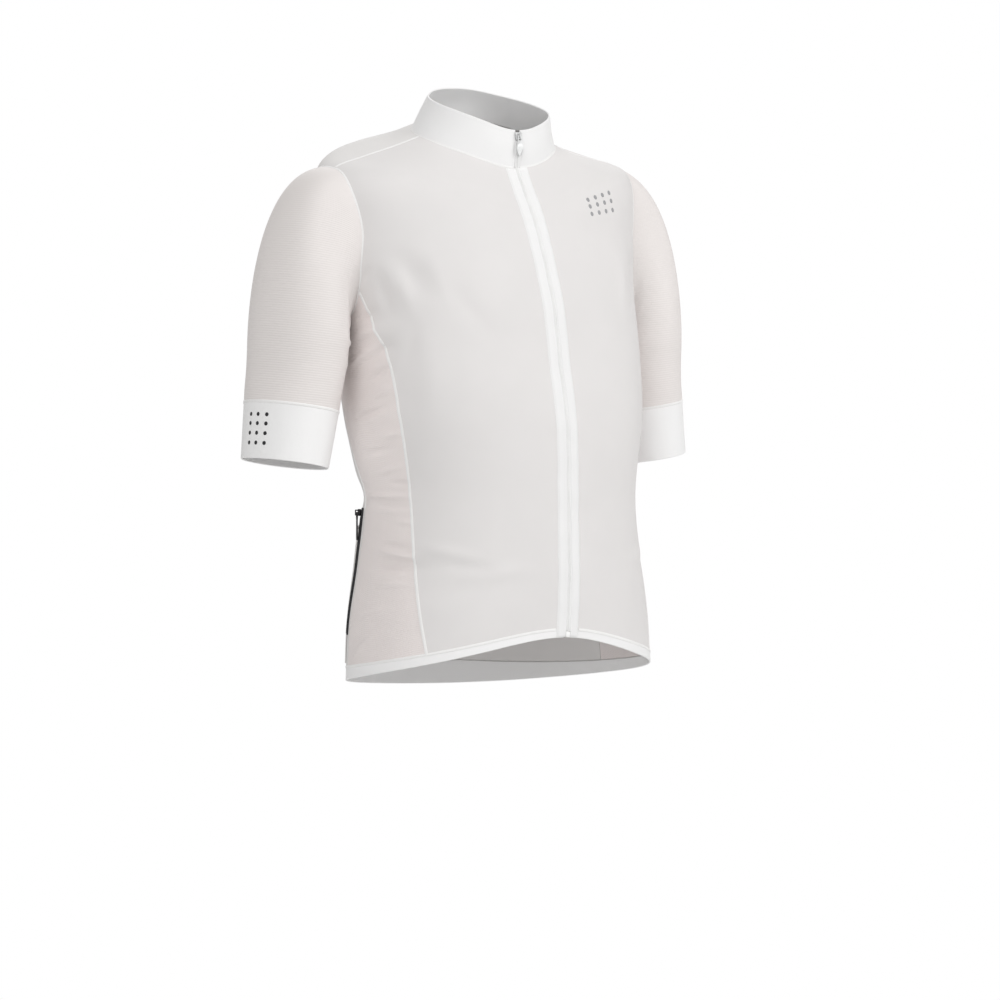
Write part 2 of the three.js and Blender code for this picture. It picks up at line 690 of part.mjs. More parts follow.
// Slider and pull of the front zip, shown closed at the top of the collar
const zipFrame = levelFrame(collarPoint(0, SLIDER_HEIGHT), new THREE.Vector3(0, -1, 0));
const ZIP_FACE = 2.1;
const zipSlider = plate(4.2, SLIDER_LENGTH, 0.6, ZIP_FACE)
  .add(block([-2.2, 2.2], [-SLIDER_LENGTH / 2, SLIDER_LENGTH / 2], [-3, 1]))
  .add(plate(4.2, SLIDER_LENGTH, -4.1, -2.7))
  .add(bail(ZIP_FACE));
jersey.add(placed("zip_slider", zipSlider, zipFrame, whiteMetal));
const LEAF = [
  [-0.65, 1.9],
  [-0.1, 2.4],
  [5.2, 2.4],
  [8, 3.3],
  [12, 4.1],
  [15, 3.8],
  [18.5, 2.4],
  [21, 0.9],
];
const pinAt = (frame, face) => frame.clone().multiply(new THREE.Matrix4().makeTranslation(0, 0, face + PIN_RISE));
jersey.add(placed("zip_pull", pull(LEAF), pinAt(zipFrame, ZIP_FACE), whiteMetal));

// A place on the back panel's own facets, in its columns and rows, and how far it stands out.
function onBack(column, row, proud) {
  const i = Math.min(BACK.length - 2, Math.floor(row));
  const j = Math.min(BACK_COLUMNS - 1, Math.floor(column));
  const place = (spot) => trunkPoint(spot.angle, spot.height, proud);
  const low = place(BACK[i][j]).lerp(place(BACK[i][j + 1]), column - j);
  const high = place(BACK[i + 1][j]).lerp(place(BACK[i + 1][j + 1]), column - j);
  return low.lerp(high, row - i);
}
const laidSpot = (column, row, under, thickness) => ({
  outer: onBack(column, row, under + thickness),
  inner: onBack(column, row, under),
});

// Pocket panel, sewn to the back at its sides, foot and two divisions, with its top edge open
const [pocketFrom, pocketTo] = POCKET_COLUMNS;
const pocketBounds = [pocketFrom, ...POCKET_DIVISIONS, pocketTo];
function pocketEase(column) {
  const start = pocketBounds.filter((bound) => bound <= column).pop();
  const end = pocketBounds.find((bound) => bound > column) ?? start;
  if (end === start) return 0;
  return Math.sin((Math.PI * (column - start)) / (end - start)) ** 0.7;
}
const [pocketFoot, pocketSide, pocketMid] = POCKET_ROWS;
const pocketColumns = Array.from({ length: pocketTo - pocketFrom + 1 }, (_, i) => pocketFrom + i);
jersey.add(
  wallMesh(
    "pocket_panel",
    [pocketFoot, 1, 2, 3, 4, null].map((row, i) =>
      pocketColumns.map((column) => {
        const middle = Math.sin((Math.PI * (column - pocketFrom)) / (pocketTo - pocketFrom));
        const place = row ?? mix(pocketSide, pocketMid, middle);
        const open = POCKET_EASE * pocketEase(column) * Math.min(1, i / 3);
        return laidSpot(column, place, LIFT + open, CLOTH);
      }),
    ),
    backCloth,
  ),
);

// Zip of the right-hand pocket: tape, chain, slider and pull
const [zipFoot, zipHead] = POCKET_ZIP_ROWS;
const zipRows = [zipFoot, 2, 3, 4, 5, zipHead];
const columnWidth = (row) => onBack(21, row, 0).distanceTo(onBack(22, row, 0));
const acrossZip = (distance, row) => POCKET_ZIP_COLUMN + distance / columnWidth(row);
const sliderRow = zipHead - 0.16;
const chainHead = sliderRow - 0.18;
const pocketStrip = (name, rows, half, under, thickness, material) =>
  wallMesh(
    name,
    rows.map((row) => [-half, half].map((reach) => laidSpot(acrossZip(reach, row), row, under, thickness))),
    material,
  );
jersey.add(pocketStrip("pocket_zip_tape", zipRows, POCKET_TAPE_HALF, LIFT, TAPE, darkTape));
const chainUnder = LIFT + TAPE + 0.3;
const chainRows = [zipFoot + 0.08, 2, 3, 4, chainHead];
jersey.add(
  pocketStrip("pocket_zip_chain", chainRows, POCKET_CHAIN_HALF, chainUnder, POCKET_CHAIN, blackPlastic),
);
const seat = onBack(POCKET_ZIP_COLUMN, sliderRow, LIFT + TAPE);
const outwards = onBack(POCKET_ZIP_COLUMN, sliderRow, 10).sub(onBack(POCKET_ZIP_COLUMN, sliderRow, 0));
const pocketFrame = levelFrame(seat, outwards);
const POCKET_FACE = 3.5;
const pocketSlider = plate(3.4, 7, 0.8, POCKET_FACE).add(bail(POCKET_FACE));
jersey.add(placed("pocket_zip_slider", pocketSlider, pocketFrame, blackMetal));
const TAB = [
  [-0.65, 1.9],
  [-0.1, 2.4],
  [5.2, 2.4],
  [7.5, 1.5],
  [14, 1.7],
  [24, 2.1],
  [27.2, 1.7],
  [28.2, 0.7],
];
jersey.add(placed("pocket_zip_pull", pull(TAB), pinAt(pocketFrame, POCKET_FACE), blackMetal));

export default jersey;
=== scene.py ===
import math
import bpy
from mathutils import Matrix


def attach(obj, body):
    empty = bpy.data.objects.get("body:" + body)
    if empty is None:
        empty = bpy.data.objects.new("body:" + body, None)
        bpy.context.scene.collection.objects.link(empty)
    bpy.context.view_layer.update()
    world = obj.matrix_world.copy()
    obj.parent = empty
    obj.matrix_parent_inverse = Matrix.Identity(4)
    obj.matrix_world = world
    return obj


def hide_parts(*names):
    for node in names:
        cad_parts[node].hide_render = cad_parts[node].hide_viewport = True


bl_info = {
    "name": "Cycling jersey",
    "version": (1, 0, 0),
    "blender": (4, 5, 0),
    "location": "3D View > Sidebar > Jersey",
    "description": "Dresses a worn cycling jersey: cloth panels, seams, zips, prints and a photo studio",
    "category": "Add Mesh",
}

import bmesh
import bpy
import numpy as np
from mathutils import Matrix, Vector

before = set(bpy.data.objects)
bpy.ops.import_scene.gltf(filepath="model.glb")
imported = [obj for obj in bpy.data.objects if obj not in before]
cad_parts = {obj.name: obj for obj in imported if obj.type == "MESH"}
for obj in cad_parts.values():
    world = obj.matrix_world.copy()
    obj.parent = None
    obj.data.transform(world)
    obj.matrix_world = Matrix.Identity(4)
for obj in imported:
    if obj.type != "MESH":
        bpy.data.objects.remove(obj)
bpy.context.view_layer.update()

# Shapes below are worked out in millimetres and degrees, and MM turns them into Blender's metres.
MM = 0.001
SEAM_GAP = 0.34
LIFT = 0.35
HEM_FRONT, HEM_BACK, HEM_POWER = 10.5, 22, 4
TAPE_INNER = 3.1
TAPE_OUTER = 14
EDGE_HALF = 4.2
COLLAR_EDGE = 3.1
BOX_HEIGHT = 8

# The zip tape from its inner edge to its outer one: full thickness, then thinner. It is pressed into the cloth
# by TAPE_SINK, and comes down to the collar's seam over its last TAPE_END.
TAPE_TAPER = np.array([1, 1, 1, 1, 0.97, 0.9, 0.76, 0.5, 0.12])
TAPE_SINK, TAPE_END = 0.25, 9
TAPE_SEWN_UNDER = 2.4 * MM

UNDERARM = 356
SHOULDER_POINT = 522
NECKLINE = 624
ARMHOLE_FRONT = 14.5
ARMHOLE_BACK = 23
UNDERARM_ANGLE = 97
PANEL_TURN = 360 * 10 / 28
SLEEVE_DROP = {-1: 0.12, 1: 0.27}

POCKET_FROM, POCKET_TO = 1, 21
POCKET_DIVISIONS = [8, 14]
POCKET_FOOT, POCKET_SIDE, POCKET_MIDDLE = 0.12, 4.55, 5.1
POCKET_EASE = 2.4
POCKET_ZIP_COLUMN = 21.5
POCKET_ZIP_FOOT, POCKET_ZIP_HEAD = 1.04, 5.3
POCKET_TAPE_HALF = 4.2
BACK_COLUMNS, BACK_ROWS = 22, 13

# The middle layer of the front zip, and both zips' teeth: how far sideways and out of the cloth they sit
CORE_LEVEL, CORE_THICKNESS = 0.9, 1.5
TEETH = {"length": 0.85, "width": 2.9, "height": 1.2, "segments": 8}
TEETH_SIDE, TEETH_LEVEL, TEETH_SLANT = 1.15, 1.0, 12
SMALL_TEETH = {"pitch": 1.2, "length": 0.8, "width": 2.1, "height": 1.1, "slant": 10, "segments": 8}
SMALL_TEETH_SIDE, SMALL_TEETH_LEVEL = 0.85, 0.4

# Rows of stitches: the size of one, and of one in the two slanting rows that lie beside a seam's middle
STITCH = {"length": 1.9, "width": 0.42, "height": 0.36}
CROSSED = {"length": 2.0, "width": 0.42, "height": 0.36, "slant": 38}
CROSSED_SIDE, CROSSED_LEVEL, CROSSED_PITCH = 0.55, 0.82, 0.62

# How much each cloth is stretched round the wearer, so how much narrower it was cut
BODY_EASE, SLEEVE_EASE, BAND_EASE, HEM_EASE = 1.04, 1.05, 1.1, 1.08

# Each soft lamp: the direction from the jersey, its distance and its size in metres
LAMPS = {
    "key": ((0.6, -1.0, 0.58), 5.0, 3.0),
    "fill": ((-0.95, -0.7, 0.95), 5.0, 2.1),
    "back": ((0.6, 1.0, 0.8), 5.0, 2.1),
}
LIT_POINT = (0, 0, -0.34)


def table(columns, rows):
    """A table with named columns."""
    return {name: np.array([row[i] for row in rows], float) for i, name in enumerate(columns)}


RING = ["height", "halfWidth", "midY", "front", "back", "zFront", "zSide", "zBack", "lean", "squareness"]

# Rings round the trunk from hem to neckline. "front" and "back" are depths from the widest line, the three
# z values tilt and dip the ring, and "lean" raises the wearer's left side of it.
TRUNK = table(RING, [
    [0, 178, -30, 106, 123, -514, -556, -576, -5, 2.1],
    [60, 171, -27, 112, 122, -466, -492, -506, -3, 2.1],
    [115, 162, -23, 116, 110, -422, -435, -441, -1, 2.1],
    [171, 156, -19, 119, 101, -377, -377, -377, 0, 2.15],
    [255, 167, -13, 122, 107, -293, -293, -293, 0, 2.3],
    [320, 170, -7, 116, 112, -228, -228, -228, 0, 2.4],
    [370, 171, 0, 114, 115, -178, -178, -178, 1, 2.4],
    [440, 187, 7, 99, 112, -111, -109, -105, 4, 2.1],
    [522, 184, 12, 87, 92, -75, -30.5, -8, 7.5, 2.05],
    [556, 150, 8, 75, 82, -61, -21, 10, 4, 2.0],
    [590, 116, 4, 64, 70, -48, -12, 21, 1.5, 2.0],
    [624, 84, 1, 54, 59, -34, -1, 26, 1, 2.0],
])

COLLAR = table(RING, [
    [0, 84, 1, 54, 59, -34, -1, 26, 1, 2.0],
    [19, 76, -3, 52, 57, -15, 16, 41, 0, 2.0],
    [38, 70, -9, 46, 55, 5, 33, 55, 0, 2.0],
])
COLLAR_TOP = COLLAR["height"][-1]
SLIDER_HEIGHT = COLLAR_TOP - 6
CHAIN_TOP = SLIDER_HEIGHT - 4.4

# Rings round the arm: "out" is the radius away from the trunk and "fore" the one to the front and back.
ARM = table(["x", "y", "z", "out", "fore"], [
    [221, 23, -215, 48.5, 58],
    [224, 24, -246, 47.5, 55],
    [229, 24, -280, 47, 51],
    [238, 23, -337, 44, 46],
])
BAND_TOP, BAND_EDGE = 3, 4

# Seams between front, side panel and back: the angle from the centre front at each height.
SEAMS = table(["height", "frontSeam", "backSeam"], [
    [0, 66, 104],
    [60, 69, 103.5],
    [115, 71, 100.5],
    [171, 72, 98],
    [255, 72, 107],
    [320, 75, 111],
    [370, 81, 113.5],
    [410, 85, 115],
])

# Folds on the trunk, the large ones first. "side" is -1 on the wearer's right, 1 on the left and 0 across
# the middle, "run" half a fold's length, "width" its softness, "turn" its slope and "rise" its height.
FOLD = ["side", "angle", "height", "run", "width", "turn", "rise"]
FOLDS = table(FOLD, [
    [-1, 64, 405, 34, 13, 118, -4.0],
    [-1, 78, 345, 26, 7, 14, 2.4],
    [-1, 80, 322, 28, 6, 22, -2.4],
    [-1, 82, 258, 36, 8, 18, 2.6],
    [-1, 84, 166, 40, 6, 2, 2.2],
    [-1, 78, 108, 40, 7, -6, -2.6],
    [-1, 56, 78, 40, 13, 10, -2.0],
    [1, 66, 400, 34, 13, -116, -3.6],
    [1, 79, 338, 27, 7, -16, 2.4],
    [1, 81, 314, 28, 6, -20, -2.2],
    [1, 83, 246, 34, 8, -15, 2.4],
    [1, 82, 172, 40, 6, -3, 2.2],
    [1, 77, 112, 38, 7, 7, -2.4],
    [-1, 132, 330, 46, 13, 48, -2.4],
    [1, 134, 322, 46, 13, -50, -2.6],
    [-1, 150, 205, 60, 9, 7, 2.6],
    [1, 146, 214, 56, 9, -9, 2.4],
    [0, 180, 186, 60, 9, 0, -2.6],
    [-1, 112, 177, 45, 15, 0, -5.5],
    [-1, 112, 542, 62, 34, 90, 8],
    [1, 112, 542, 62, 34, 90, 8],
])
CREASES = table(FOLD, [
    [-1, 74, 384, 26, 6.0, 100, -2.6],
    [-1, 80, 404, 13, 2.6, 58, -1.8],
    [-1, 67, 388, 28, 6.0, 104, 1.5],
    [-1, 82, 361, 17, 3.6, 26, -2.5],
    [-1, 84, 343, 24, 3.0, 18, 2.7],
    [-1, 76, 330, 13, 2.6, 34, -2.2],
    [-1, 88, 318, 26, 3.4, 24, 2.8],
    [-1, 81, 300, 22, 3.2, 30, -2.7],
    [-1, 78, 284, 15, 2.6, 22, 2.1],
    [-1, 86, 262, 28, 3.0, 16, -2.8],
    [-1, 77, 240, 16, 2.8, 10, 2.1],
    [-1, 84, 224, 26, 3.4, 12, -2.1],
    [-1, 80, 205, 20, 2.8, 16, 2.0],
    [-1, 76, 192, 13, 2.4, 2, -2.1],
    [-1, 83, 178, 34, 2.8, 1, 3.2],
    [-1, 81, 168, 30, 3.4, 0, -2.5],
    [-1, 75, 152, 12, 2.6, -4, 1.7],
    [-1, 80, 128, 22, 3.0, -8, -2.1],
    [-1, 76, 117, 26, 2.8, -10, 2.8],
    [-1, 82, 104, 28, 3.4, -5, -2.5],
    [-1, 80, 88, 22, 3.0, -3, 2.0],
    [-1, 90, 62, 20, 3.4, 12, 1.8],
    [-1, 92, 30, 20, 3.0, 30, 2.1],
    [-1, 59, 118, 34, 6.5, -16, 2.0],
    [-1, 50, 100, 30, 7.0, -12, -1.7],
    [-1, 36, 88, 40, 9.0, 6, 1.5],
    [-1, 55, 402, 32, 8.0, 110, 0.9],
    [-1, 45, 372, 44, 11.0, 128, -1.8],
    [-1, 66, 330, 26, 6.0, 74, -1.1],
    [-1, 60, 300, 60, 14.0, 84, 1.3],
    [1, 75, 386, 17, 4.5, -126, -2.2],
    [1, 75, 366, 17, 3.0, -44, 2.8],
    [1, 80, 352, 20, 3.2, -24, -3.1],
    [1, 84, 332, 24, 3.0, -18, 2.5],
    [1, 82, 306, 26, 3.4, -24, -2.5],
    [1, 78, 276, 16, 2.6, -20, 2.1],
    [1, 85, 254, 28, 3.0, -15, -2.5],
    [1, 78, 230, 16, 2.8, -8, 2.0],
    [1, 84, 212, 26, 3.4, -12, -2.0],
    [1, 82, 182, 34, 2.8, -2, 2.8],
    [1, 80, 160, 22, 3.2, 3, -2.1],
    [1, 78, 122, 26, 2.8, 9, 2.4],
    [1, 83, 98, 26, 3.4, 5, -2.1],
    [1, 56, 108, 34, 7.0, 15, 1.6],
    [1, 52, 392, 34, 8.0, -114, 1.5],
    [-1, 112, 374, 28, 4.5, 60, 1.8],
    [-1, 124, 352, 30, 5.0, 46, -1.6],
    [1, 113, 366, 28, 4.5, -58, 1.8],
    [1, 126, 346, 30, 5.0, -46, -1.5],
    [-1, 160, 236, 44, 5.5, 14, -1.7],
    [1, 152, 250, 40, 5.5, -18, 1.6],
    [1, 165, 176, 44, 5.0, -8, 1.4],
    [0, 180, 214, 50, 5.5, 0, 1.6],
    [-1, 168, 400, 60, 14.0, 84, -1.4],
    [1, 150, 420, 50, 12.0, -70, 1.5],
])

# Soft folds of the sleeves, "at" turns round the arm (90 is the front, 180 the trunk side) and at a reach.
SLEEVE_FOLD = ["at", "reach", "run", "width", "turn", "rise"]
SLEEVE_FOLDS = table(SLEEVE_FOLD, [
    [126, 0.34, 32, 7, 62, -2.4],
    [142, 0.48, 30, 5, 44, 1.8],
    [152, 0.66, 30, 6, 24, -1.8],
    [140, 0.92, 26, 5, 16, 1.4],
    [168, 1.1, 28, 6, 10, -1.8],
    [150, 1.6, 24, 6, 8, 1.1],
    [232, 0.55, 32, 8, -40, -2.0],
    [214, 1.25, 30, 7, -14, 1.5],
    [196, 2.2, 26, 6, 6, -1.2],
    [62, 0.30, 34, 12, 76, -1.4],
    [84, 0.62, 60, 16, 82, 1.2],
    [300, 0.34, 34, 12, -70, -1.3],
    [280, 0.8, 50, 15, -80, 1.2],
])
REACH_LENGTH = [0, 110, 141, 175, 233]

# Radii that turn angles into distances, how far past its run a fold fades out, and the step for slopes
GIRTH_RADIUS, SLEEVE_GIRTH_RADIUS = 150, 52
FADE = 1.3
NUDGE = 0.5


def mix(a, b, share):
    return a + (b - a) * share


def smooth(value):
    value = np.clip(value, 0, 1)
    return value * value * (3 - 2 * value)


def unit(vectors):
    return vectors / np.maximum(np.linalg.norm(vectors, axis=-1, keepdims=True), 1e-12)


def stack(x, y, z):
    return np.stack(np.broadcast_arrays(x, y, z), axis=-1).astype(float)


def along(rows, column, at):
    """A smooth curve through one column of a table, read at heights."""
    x, y = rows["height"], rows[column]
    at = np.clip(np.asarray(at, float), x[0], x[-1])
    gap = np.diff(x)
    chord = np.diff(y) / gap
    inside = (chord[1:] * gap[:-1] + chord[:-1] * gap[1:]) / (gap[1:] + gap[:-1])
    slope = np.concatenate([chord[:1], inside, chord[-1:]])
    k = np.clip(np.searchsorted(x, at) - 1, 0, len(x) - 2)
    t = (at - x[k]) / gap[k]
    bend = t * t * (3 - 2 * t)
    leave = t * (1 - t) * (1 - t) * gap[k] * slope[k]
    arrive = t * t * (t - 1) * gap[k] * slope[k + 1]
    return mix(y[k], y[k + 1], bend) + leave + arrive


def ring_point(rows, angle, height):
    """Points on the rings, at angles from the centre front towards the wearer's left."""
    turn = np.radians(angle)
    depth = np.where(np.cos(turn) > 0, along(rows, "front", height), along(rows, "back", height))
    power = along(rows, "squareness", height)
    across = np.abs(np.sin(turn)) / along(rows, "halfWidth", height)
    radius = (across**power + (np.abs(np.cos(turn)) / depth) ** power) ** (-1 / power)
    front, side, back = (along(rows, column, height) for column in ("zFront", "zSide", "zBack"))
    dip = ((front + back) / 2 - side) / 2
    level = side + dip + (front - back) / 2 * np.cos(turn) + dip * np.cos(2 * turn)
    lean = along(rows, "lean", height) * np.sin(turn)
    return stack(radius * np.sin(turn), along(rows, "midY", height) - radius * np.cos(turn), level + lean)


def normal_of(surface, a, b, da, db):
    along_a = surface(a + da, b) - surface(a - da, b)
    along_b = surface(a, b + db) - surface(a, b - db)
    return unit(np.cross(along_a, along_b))


def ring_normal(rows, angle, height):
    inside = np.clip(height, NUDGE, rows["height"][-1] - NUDGE)
    return normal_of(lambda a, b: ring_point(rows, a, b), angle, inside, NUDGE, NUDGE)


def swing_from(angle, at):
    """The turn from one angle to others, between -180 and 180."""
    return (angle - at + 540) % 360 - 180


def one_fold(x, y, run, width, turn, rise):
    """The lift of one fold, x sideways and y up from its middle."""
    slope = math.radians(turn)
    lengthwise = x * math.cos(slope) + y * math.sin(slope)
    across = y * math.cos(slope) - x * math.sin(slope)
    return rise * smooth(1 - np.abs(lengthwise) / run / FADE) * np.exp(-((across / width) ** 2))


def fold_height(folds, angle, height):
    """How far the folds lift or sink the trunk."""
    total = 0
    for side, at, level, *form in zip(*(folds[name] for name in FOLD)):
        swing = swing_from(angle, side * at if side else at)
        total = total + one_fold(np.radians(swing) * GIRTH_RADIUS, height - level, *form)
    return total


def ripple(angle, height):
    """The slight unevenness of worn cloth, and the puckers beside the front zip."""
    turn = np.radians(angle)
    broad = np.sin(5 * turn + height / 41) * np.sin(height / 57 - 2 * turn)
    close = np.sin(9 * turn - height / 23 + 1.3) * np.sin(height / 31 + 3 * turn)
    sideways = np.abs(np.sin(turn)) * GIRTH_RADIUS
    near_zip = np.exp(-((sideways / 26) ** 2)) * (np.cos(turn) > 0)
    return 0.45 * broad + 0.22 * close + 0.28 * near_zip * np.sin(height / 6.4 + np.sin(height / 37))


def trunk_point(angle, height, proud=0.0):
    """The cloth's outer surface on the trunk, and any height over it."""
    lift = fold_height(FOLDS, angle, height) + fold_height(CREASES, angle, height) + ripple(angle, height)
    lift = np.asarray(lift + proud)[..., None]
    return ring_point(TRUNK, angle, height) + ring_normal(TRUNK, angle, height) * lift


def collar_point(angle, height, proud=0.0):
    wave = 0.3 * np.sin(np.radians(angle) * 7 + 0.6) * smooth(height / COLLAR_TOP)
    lift = np.asarray(wave + proud)[..., None]
    return ring_point(COLLAR, angle, height) + ring_normal(COLLAR, angle, height) * lift


def hem_width(angle):
    """The hem band's width up from the hem."""
    return mix(HEM_FRONT, HEM_BACK, ((1 - np.cos(np.radians(angle))) / 2) ** HEM_POWER)


def armhole(turn):
    """Angle and height on the trunk, for turns from the shoulder point (0) by the front to the back."""
    middle, half = (UNDERARM + SHOULDER_POINT) / 2, (SHOULDER_POINT - UNDERARM) / 2
    height = middle + half * np.cos(np.radians(turn))
    centre = mix(UNDERARM_ANGLE, 90, (height - UNDERARM) / (SHOULDER_POINT - UNDERARM))
    sideways = np.sin(np.radians(turn))
    return centre - np.where(sideways > 0, ARMHOLE_FRONT, ARMHOLE_BACK) * sideways, height


def seam_angle(column, height):
    """The angle of a seam below the armhole, bent to end at the armhole's own corner."""
    corner_angle, corner_height = armhole(PANEL_TURN if column == "frontSeam" else 360 - PANEL_TURN)
    miss = corner_angle - along(SEAMS, column, corner_height)
    return along(SEAMS, column, height) + miss * smooth((height - 300) / (corner_height - 300))


def trunk_sideways(distance, height):
    """The angle that lies a distance sideways from the centre front."""
    return np.degrees(np.arctan2(distance, along(TRUNK, "front", height)))


def collar_sideways(distance, height):
    return np.degrees(np.arctan2(distance, along(COLLAR, "front", height)))


def gap_angle(distance):
    return math.degrees(distance / GIRTH_RADIUS)


def turns_round(count):
    """Even turns round a closed ring, without the last, which is the first."""
    return np.linspace(0, 360, count + 1)[:-1]


def body_rows(column, lower, upper, top):
    """Row by row up a front or the back: share of the lower part or none, height, and edge angle."""
    sign = 1 if column == "frontSeam" else -1
    _, corner = armhole(sign * PANEL_TURN)
    rows = [(share, corner, None) for share in np.linspace(0, 1, lower)]
    for turn in np.linspace(PANEL_TURN, 0, upper)[1:]:
        edge, height = armhole(sign * turn)
        rows.append((None, float(height), float(edge)))
    for share in np.linspace(0, 1, top)[1:]:
        last = SEAM_GAP / 2 if share == 1 else 0
        rows.append((None, mix(SHOULDER_POINT, NECKLINE, share) - last, 90.0))
    return rows


def panel_grid(column, columns, lower=84, upper=52, top=26):
    """Angles and heights over one front, or over the back from its left seam to its right one."""
    across = np.linspace(0, 1, columns)
    hem_edge = seam_angle(column, 0)
    is_front = column == "frontSeam"
    angles, heights = [], []
    for share, height, edge in body_rows(column, lower, upper, top):
        level = np.full(columns, float(height))
        if share is not None:
            start = trunk_sideways(EDGE_HALF, 0) if is_front else hem_edge
            stop = hem_edge if is_front else 360 - hem_edge
            level = mix(hem_width(mix(start, stop, across)) + SEAM_GAP / 2, height, share)
        side = seam_angle(column, level) if edge is None else edge
        if is_front:
            angles.append(mix(trunk_sideways(EDGE_HALF, level), side - gap_angle(SEAM_GAP / 2), across))
        else:
            side = side + gap_angle(SEAM_GAP / 2)
            angles.append(mix(side, 360 - side, across))
        heights.append(level)
    return np.array(angles), np.array(heights)


def side_grid(rows=200, columns=60):
    """Angles and heights over a side panel, whose top edge is the lower part of the armhole."""
    across = np.linspace(0, 1, columns)
    top_angle, top_height = armhole(mix(PANEL_TURN, 360 - PANEL_TURN, across))
    hem = hem_width(mix(seam_angle("frontSeam", 0), seam_angle("backSeam", 0), across)) + SEAM_GAP / 2
    share = np.linspace(0, 1, rows)[:, None]
    height = mix(hem, top_height - SEAM_GAP / 2, share)

    def straight(at):
        return mix(seam_angle("frontSeam", at), seam_angle("backSeam", at), across)

    margin = gap_angle(SEAM_GAP / 2)
    pull = share**3 * (top_angle - straight(top_height))
    return straight(height) + pull + mix(margin, -margin, across), height


def back_place(column, row):
    """Angle and height on the back, in the pockets' columns and rows."""
    across = np.asarray(column, float) / BACK_COLUMNS
    hem_edge = seam_angle("backSeam", 0)
    _, corner = armhole(-PANEL_TURN)
    foot = hem_width(mix(hem_edge, 360 - hem_edge, across)) + SEAM_GAP / 2
    height = mix(foot, corner, np.asarray(row, float) / BACK_ROWS)
    edge = seam_angle("backSeam", height) + gap_angle(SEAM_GAP / 2)
    return mix(edge, 360 - edge, across), height


def on_back(column, row, proud=0.0):
    return trunk_point(*back_place(column, row), proud)


def back_normal(column, row):
    return ring_normal(TRUNK, *back_place(column, row))


def arm_ring(k, turn, sign):
    """One ring round an arm: outward, front, trunk side and back for turns from 0 to 360."""
    last = len(ARM["x"]) - 1

    def centre(i):
        i = min(last, max(0, i))
        return np.array([sign * ARM["x"][i], ARM["y"][i], ARM["z"][i]])

    k = min(last, max(0, k))
    axis = unit(centre(k + 1) - centre(k - 1))
    out = unit(np.array([-sign * axis[2], 0, sign * axis[0]]))
    fore = np.array([0.0, -1.0, 0.0])
    fore = unit(fore - axis * fore.dot(axis))
    spin = np.radians(turn)[..., None]
    return centre(k) + out * ARM["out"][k] * np.cos(spin) + fore * ARM["fore"][k] * np.sin(spin)


def sleeve_start(turn, sign):
    """The direction in which the sleeve leaves the armhole."""
    over = unit(np.array([sign, 0, -SLEEVE_DROP[sign]]))
    under = np.array([sign * 0.75, 0, -0.66])
    low = ((1 - np.cos(np.radians(turn))) / 2) ** 1.6
    return unit(mix(over, under, low[..., None]))


def hermite(p0, t0, p1, t1, t):
    bend = t * t * (3 - 2 * t)
    return mix(p0, p1, bend) + t0 * (t * (1 - t) * (1 - t)) + t1 * (t * t * (t - 1))


def sleeve_surface(turn, reach, sign):
    """The plain sleeve: reach 0 is the armhole, 1 the first arm ring, and each later ring adds 1."""
    turn, reach = np.broadcast_arrays(np.asarray(turn, float), np.asarray(reach, float))
    angle, height = armhole(turn)
    start = trunk_point(sign * angle, height)
    rings = [arm_ring(k, turn, sign) for k in range(-1, len(ARM["x"]) + 1)]
    first, second = rings[1], rings[2]
    chord = np.linalg.norm(first - start, axis=-1, keepdims=True)
    t = reach[..., None]
    near = hermite(start, sleeve_start(turn, sign) * chord, first, unit(second - first) * chord, t)
    result = near
    last = len(ARM["x"]) - 2
    for k in range(last + 1):
        ring = rings[k : k + 4]
        leave = (ring[2] - ring[0]) * (1 if k == 0 else 0.5)
        arrive = (ring[3] - ring[1]) * (1 if k == last else 0.5)
        result = np.where(t > k + 1, hermite(ring[1], leave, ring[2], arrive, t - 1 - k), result)
    return result


def sleeve_normal(turn, reach, sign):
    inside = np.clip(reach, 0.02, BAND_EDGE - 0.02)
    return normal_of(lambda a, b: sleeve_surface(a, b, sign), turn, inside, 2, 0.01) * sign


def sleeve_point(turn, reach, sign, proud=0.0):
    """The sleeve's outer surface with its soft folds, and any height over it."""
    turn, reach = np.broadcast_arrays(np.asarray(turn, float), np.asarray(reach, float))
    length = np.interp(reach, range(len(REACH_LENGTH)), REACH_LENGTH)
    lift = 0.35 * np.sin(np.radians(turn) * 3 + length / 27) * np.sin(length / 38)
    for at, centre, *form in zip(*(SLEEVE_FOLDS[name] for name in SLEEVE_FOLD)):
        level = np.interp(centre, range(len(REACH_LENGTH)), REACH_LENGTH)
        lift = lift + one_fold(np.radians(swing_from(turn, at)) * SLEEVE_GIRTH_RADIUS, length - level, *form)
    settle = smooth(length / 16) * smooth((REACH_LENGTH[BAND_TOP] - length) / 14)
    lift = np.asarray(lift * settle + proud)[..., None]
    return sleeve_surface(turn, reach, sign) + sleeve_normal(turn, reach, sign) * lift


# Mesh making


def link(name, mesh):
    """A new object at the origin, in the scene."""
    made = bpy.data.objects.new(name, mesh)
    bpy.context.scene.collection.objects.link(made)
    return made


def arc_lengths(points, axis):
    """Distance travelled along one direction of a grid, in metres, from its middle."""
    leg = np.linalg.norm(np.diff(points, axis=axis), axis=-1)
    pad = [(0, 0), (0, 0)]
    pad[axis] = (1, 0)
    run = np.pad(np.cumsum(leg, axis=axis), pad) * MM
    return run - np.take(run, [run.shape[axis] // 2], axis=axis)


